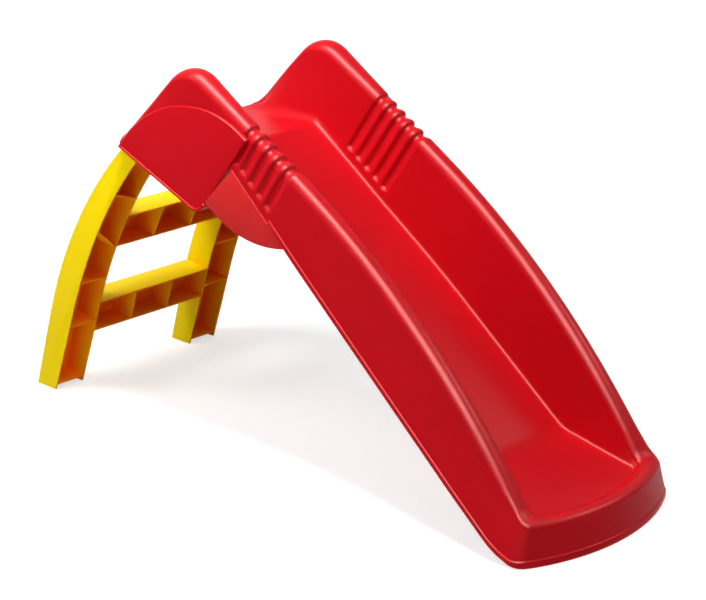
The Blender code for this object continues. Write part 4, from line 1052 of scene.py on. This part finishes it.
@dataclass
class LadderMoulding(BevelledNode):
    """The yellow tray, which knows how deep each of its faces lies in a cell, for its painted shade."""

    rays: int = 48
    near: float = 0.001
    far: float = 0.075
    inward: float = 0.12

    def colour_map(self, item: Object) -> None:
        """Store for every corner how much of its view the moulding itself closes: the amount of painted shade there."""
        mesh = item.data
        tree = BVHTree.FromPolygons([v.co for v in mesh.vertices], [p.vertices for p in mesh.polygons])
        golden = pi * (3.0 - sqrt(5.0))
        heights = [1.0 - (i + 0.5) / self.rays for i in range(self.rays)]
        fan = []
        for number, height in enumerate(heights):
            flat = sqrt(1.0 - height * height)
            fan.append(Vector((flat * cos(golden * number), flat * sin(golden * number), height)))
        # baked occlusion, which the yellow finish turns into painted shade
        layer = mesh.attributes.new("painted_shade", "FLOAT", "CORNER")
        for face in mesh.polygons:
            turn = face.normal.to_track_quat("Z", "Y")
            ways = [turn @ way for way in fan]
            for corner in face.loop_indices:
                place = mesh.vertices[mesh.loops[corner].vertex_index].co
                start = place.lerp(face.center, self.inward) + face.normal * self.near
                hits = sum(1 for way in ways if tree.ray_cast(start, way, self.far)[0] is not None)
                layer.data[corner].value = hits / self.rays


@dataclass
class AxleHardware:
    """The steel axle, its caps and the guard screws: CAD nodes that keep their meshes."""

    steel: tuple[str, ...] = ("fold_axle", "guard_screw_left_upper", "guard_screw_left_lower",
                              "guard_screw_right_upper", "guard_screw_right_lower")
    caps: tuple[str, ...] = ("axle_cap_left", "axle_cap_right")

    def dress(self, steel: Material, cap: Material) -> None:
        """Give each node its finish."""
        for names, material, slots in ((self.steel, steel, "screw_steel"), (self.caps, cap, "cap_plastic")):
            for name in names:
                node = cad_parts[name]
                coat(node, material)


@dataclass
class Studio:
    """A pale floor, soft lamps and the camera at the photograph's viewing angle."""

    focal_px: float = 2042.8
    frame_px: Pair = (706.0, 600.0)
    sensor: float = 36.0
    clip: Pair = (0.05, 60.0)
    camera_at: Triple = (2.2676, -2.3820, 1.3913)
    yaw: float = radians(133.30)
    pitch: float = radians(19.08)
    world_light: float = 0.34
    floor_colour: Colour = (0.60, 0.60, 0.60, 1.0)
    floor_reach: float = 14.0
    floor_drop: float = 0.0004
    glow_reach: Pair = (0.9, 2.6)
    glow: Pair = (0.63, 1.0)
    sheen: Triple = (1.0, 0.60, 0.56)
    lamps: tuple = (
        ("key", (-1.1, -1.35, 1.9), (-0.05, 0.0, 0.30), (0.8, 0.8), 22.0),
        ("top", (0.12, -0.42, 1.9), (0.15, 0.0, 0.3), (1.5, 0.20), 25.0),
        ("sheen_top", (0.12, -0.50, 1.9), (0.15, 0.0, 0.3), (1.6, 0.50), 400.0),
        ("sheen_low", (1.30, -0.95, 1.6), (0.35, -0.1, 0.2), (1.3, 0.90), 420.0),
        ("sheen_lip", (1.30, 1.00, 1.4), (0.55, 0.0, 0.05), (0.7, 0.50), 45.0),
    )

    def camera(self) -> None:
        """Place the camera."""
        data = bpy.data.cameras.new("camera")
        data.sensor_width = self.sensor
        data.lens = self.focal_px / self.frame_px[0] * self.sensor
        data.clip_start, data.clip_end = self.clip
        ahead = Vector((cos(self.yaw) * cos(self.pitch), sin(self.yaw) * cos(self.pitch),
                        -sin(self.pitch)))
        right = Vector((sin(self.yaw), -cos(self.yaw), 0.0))
        turn = Matrix((right, right.cross(ahead), -ahead)).transposed().to_4x4()
        turn.translation = Vector(self.camera_at)
        item = link("camera", data)
        item.matrix_world = turn
        bpy.context.scene.camera = item

    def lights(self) -> None:
        """Hang the soft lamps. The sheen lamps only show in reflections."""
        for name, place, aim, size, power in self.lamps:
            data = bpy.data.lights.new(name, "AREA")
            data.shape = "RECTANGLE"
            data.size, data.size_y = size
            data.energy = power
            item = link(name, data)
            item.location = place
            item.rotation_euler = (Vector(aim) - Vector(place)).to_track_quat("-Z", "Y").to_euler()
            if name.startswith("sheen"):
                item.visible_diffuse = False
                data.color = self.sheen

    def world(self) -> None:
        """Light the scene evenly, and show white to the camera and in reflections."""
        world = bpy.data.worlds.new("studio")
        bpy.context.scene.world = world
        world.use_nodes = True
        nodes = Nodes(world.node_tree)
        nodes.tree.nodes.clear()
        level = nodes.span(nodes.seen(), 0.0, 1.0, self.world_light, 1.0)
        back = nodes.node("ShaderNodeBackground", Color=(1.0, 1.0, 1.0, 1.0), Strength=level)
        nodes.node("ShaderNodeOutputWorld", Surface=back)

    def floor(self) -> None:
        """A pale floor that is white to the camera and keeps the slide's shadow."""
        nodes = Nodes.named("studio_floor")
        diffuse = nodes.node("ShaderNodeBsdfDiffuse", Color=self.floor_colour)
        length = nodes.node("ShaderNodeVectorMath", {"operation": "LENGTH"})
        nodes.join(length, 0, nodes.place())
        level = nodes.span(length.outputs["Value"], *self.glow_reach, *self.glow)
        glow = nodes.node("ShaderNodeEmission", Color=(1.0, 1.0, 1.0, 1.0),
                          Strength=nodes.math("MULTIPLY", nodes.seen(), level))
        both = nodes.node("ShaderNodeAddShader")
        nodes.join(both, 0, diffuse)
        nodes.join(both, 1, glow)
        mesh = bpy.data.meshes.new("studio_floor")
        reach, depth = self.floor_reach, -self.floor_drop
        corners_at = ((-reach, -reach), (reach, -reach), (reach, reach), (-reach, reach))
        mesh.from_pydata([(x, y, depth) for x, y in corners_at], [], [(0, 1, 2, 3)])
        item = link("studio_floor", mesh)
        mesh.materials.append(nodes.finish(both))

    def build(self) -> None:
        """Set up camera, lamps, world and floor."""
        bpy.context.scene.view_settings.view_transform = "Standard"
        self.camera()
        self.lights()
        self.world()
        self.floor()


def corners(bounds: tuple[Vector, Vector]) -> list[list[float]]:
    """Turn a box into plain lists."""
    return [list(corner) for corner in bounds]


def main() -> None:
    """Build every piece in order and report it."""
    logging.basicConfig(level=logging.INFO, format="%(name)s: %(message)s")
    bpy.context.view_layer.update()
    red, guard_red_with_painted_light = RED_FINISH.material(), GUARD_FINISH_WITH_PAINTED_LIGHT.material()
    yellow = YELLOW_FINISH.material()
    shape = SideShape()
    made = [SlideBody(shape).build(red),
            LadderMoulding("ladder", "ladder_moulding", "ladder", "yellow_plastic", width=0.0009).build(yellow)]
    for side in ("left", "right"):
        made.append(GuardCover(f"hinge_guard_{side}", f"guard_cover_{side}", "slide", "red_guard_plastic",
                               width=0.0007).build(guard_red_with_painted_light))
    AxleHardware().dress(STEEL_FINISH.material(), CAP_FINISH.material())
    Studio().build()
    for item in made:
        LOG.info("%s has %d faces", item.name, len(item.data.polygons))


if __name__ == "__main__":
    main()
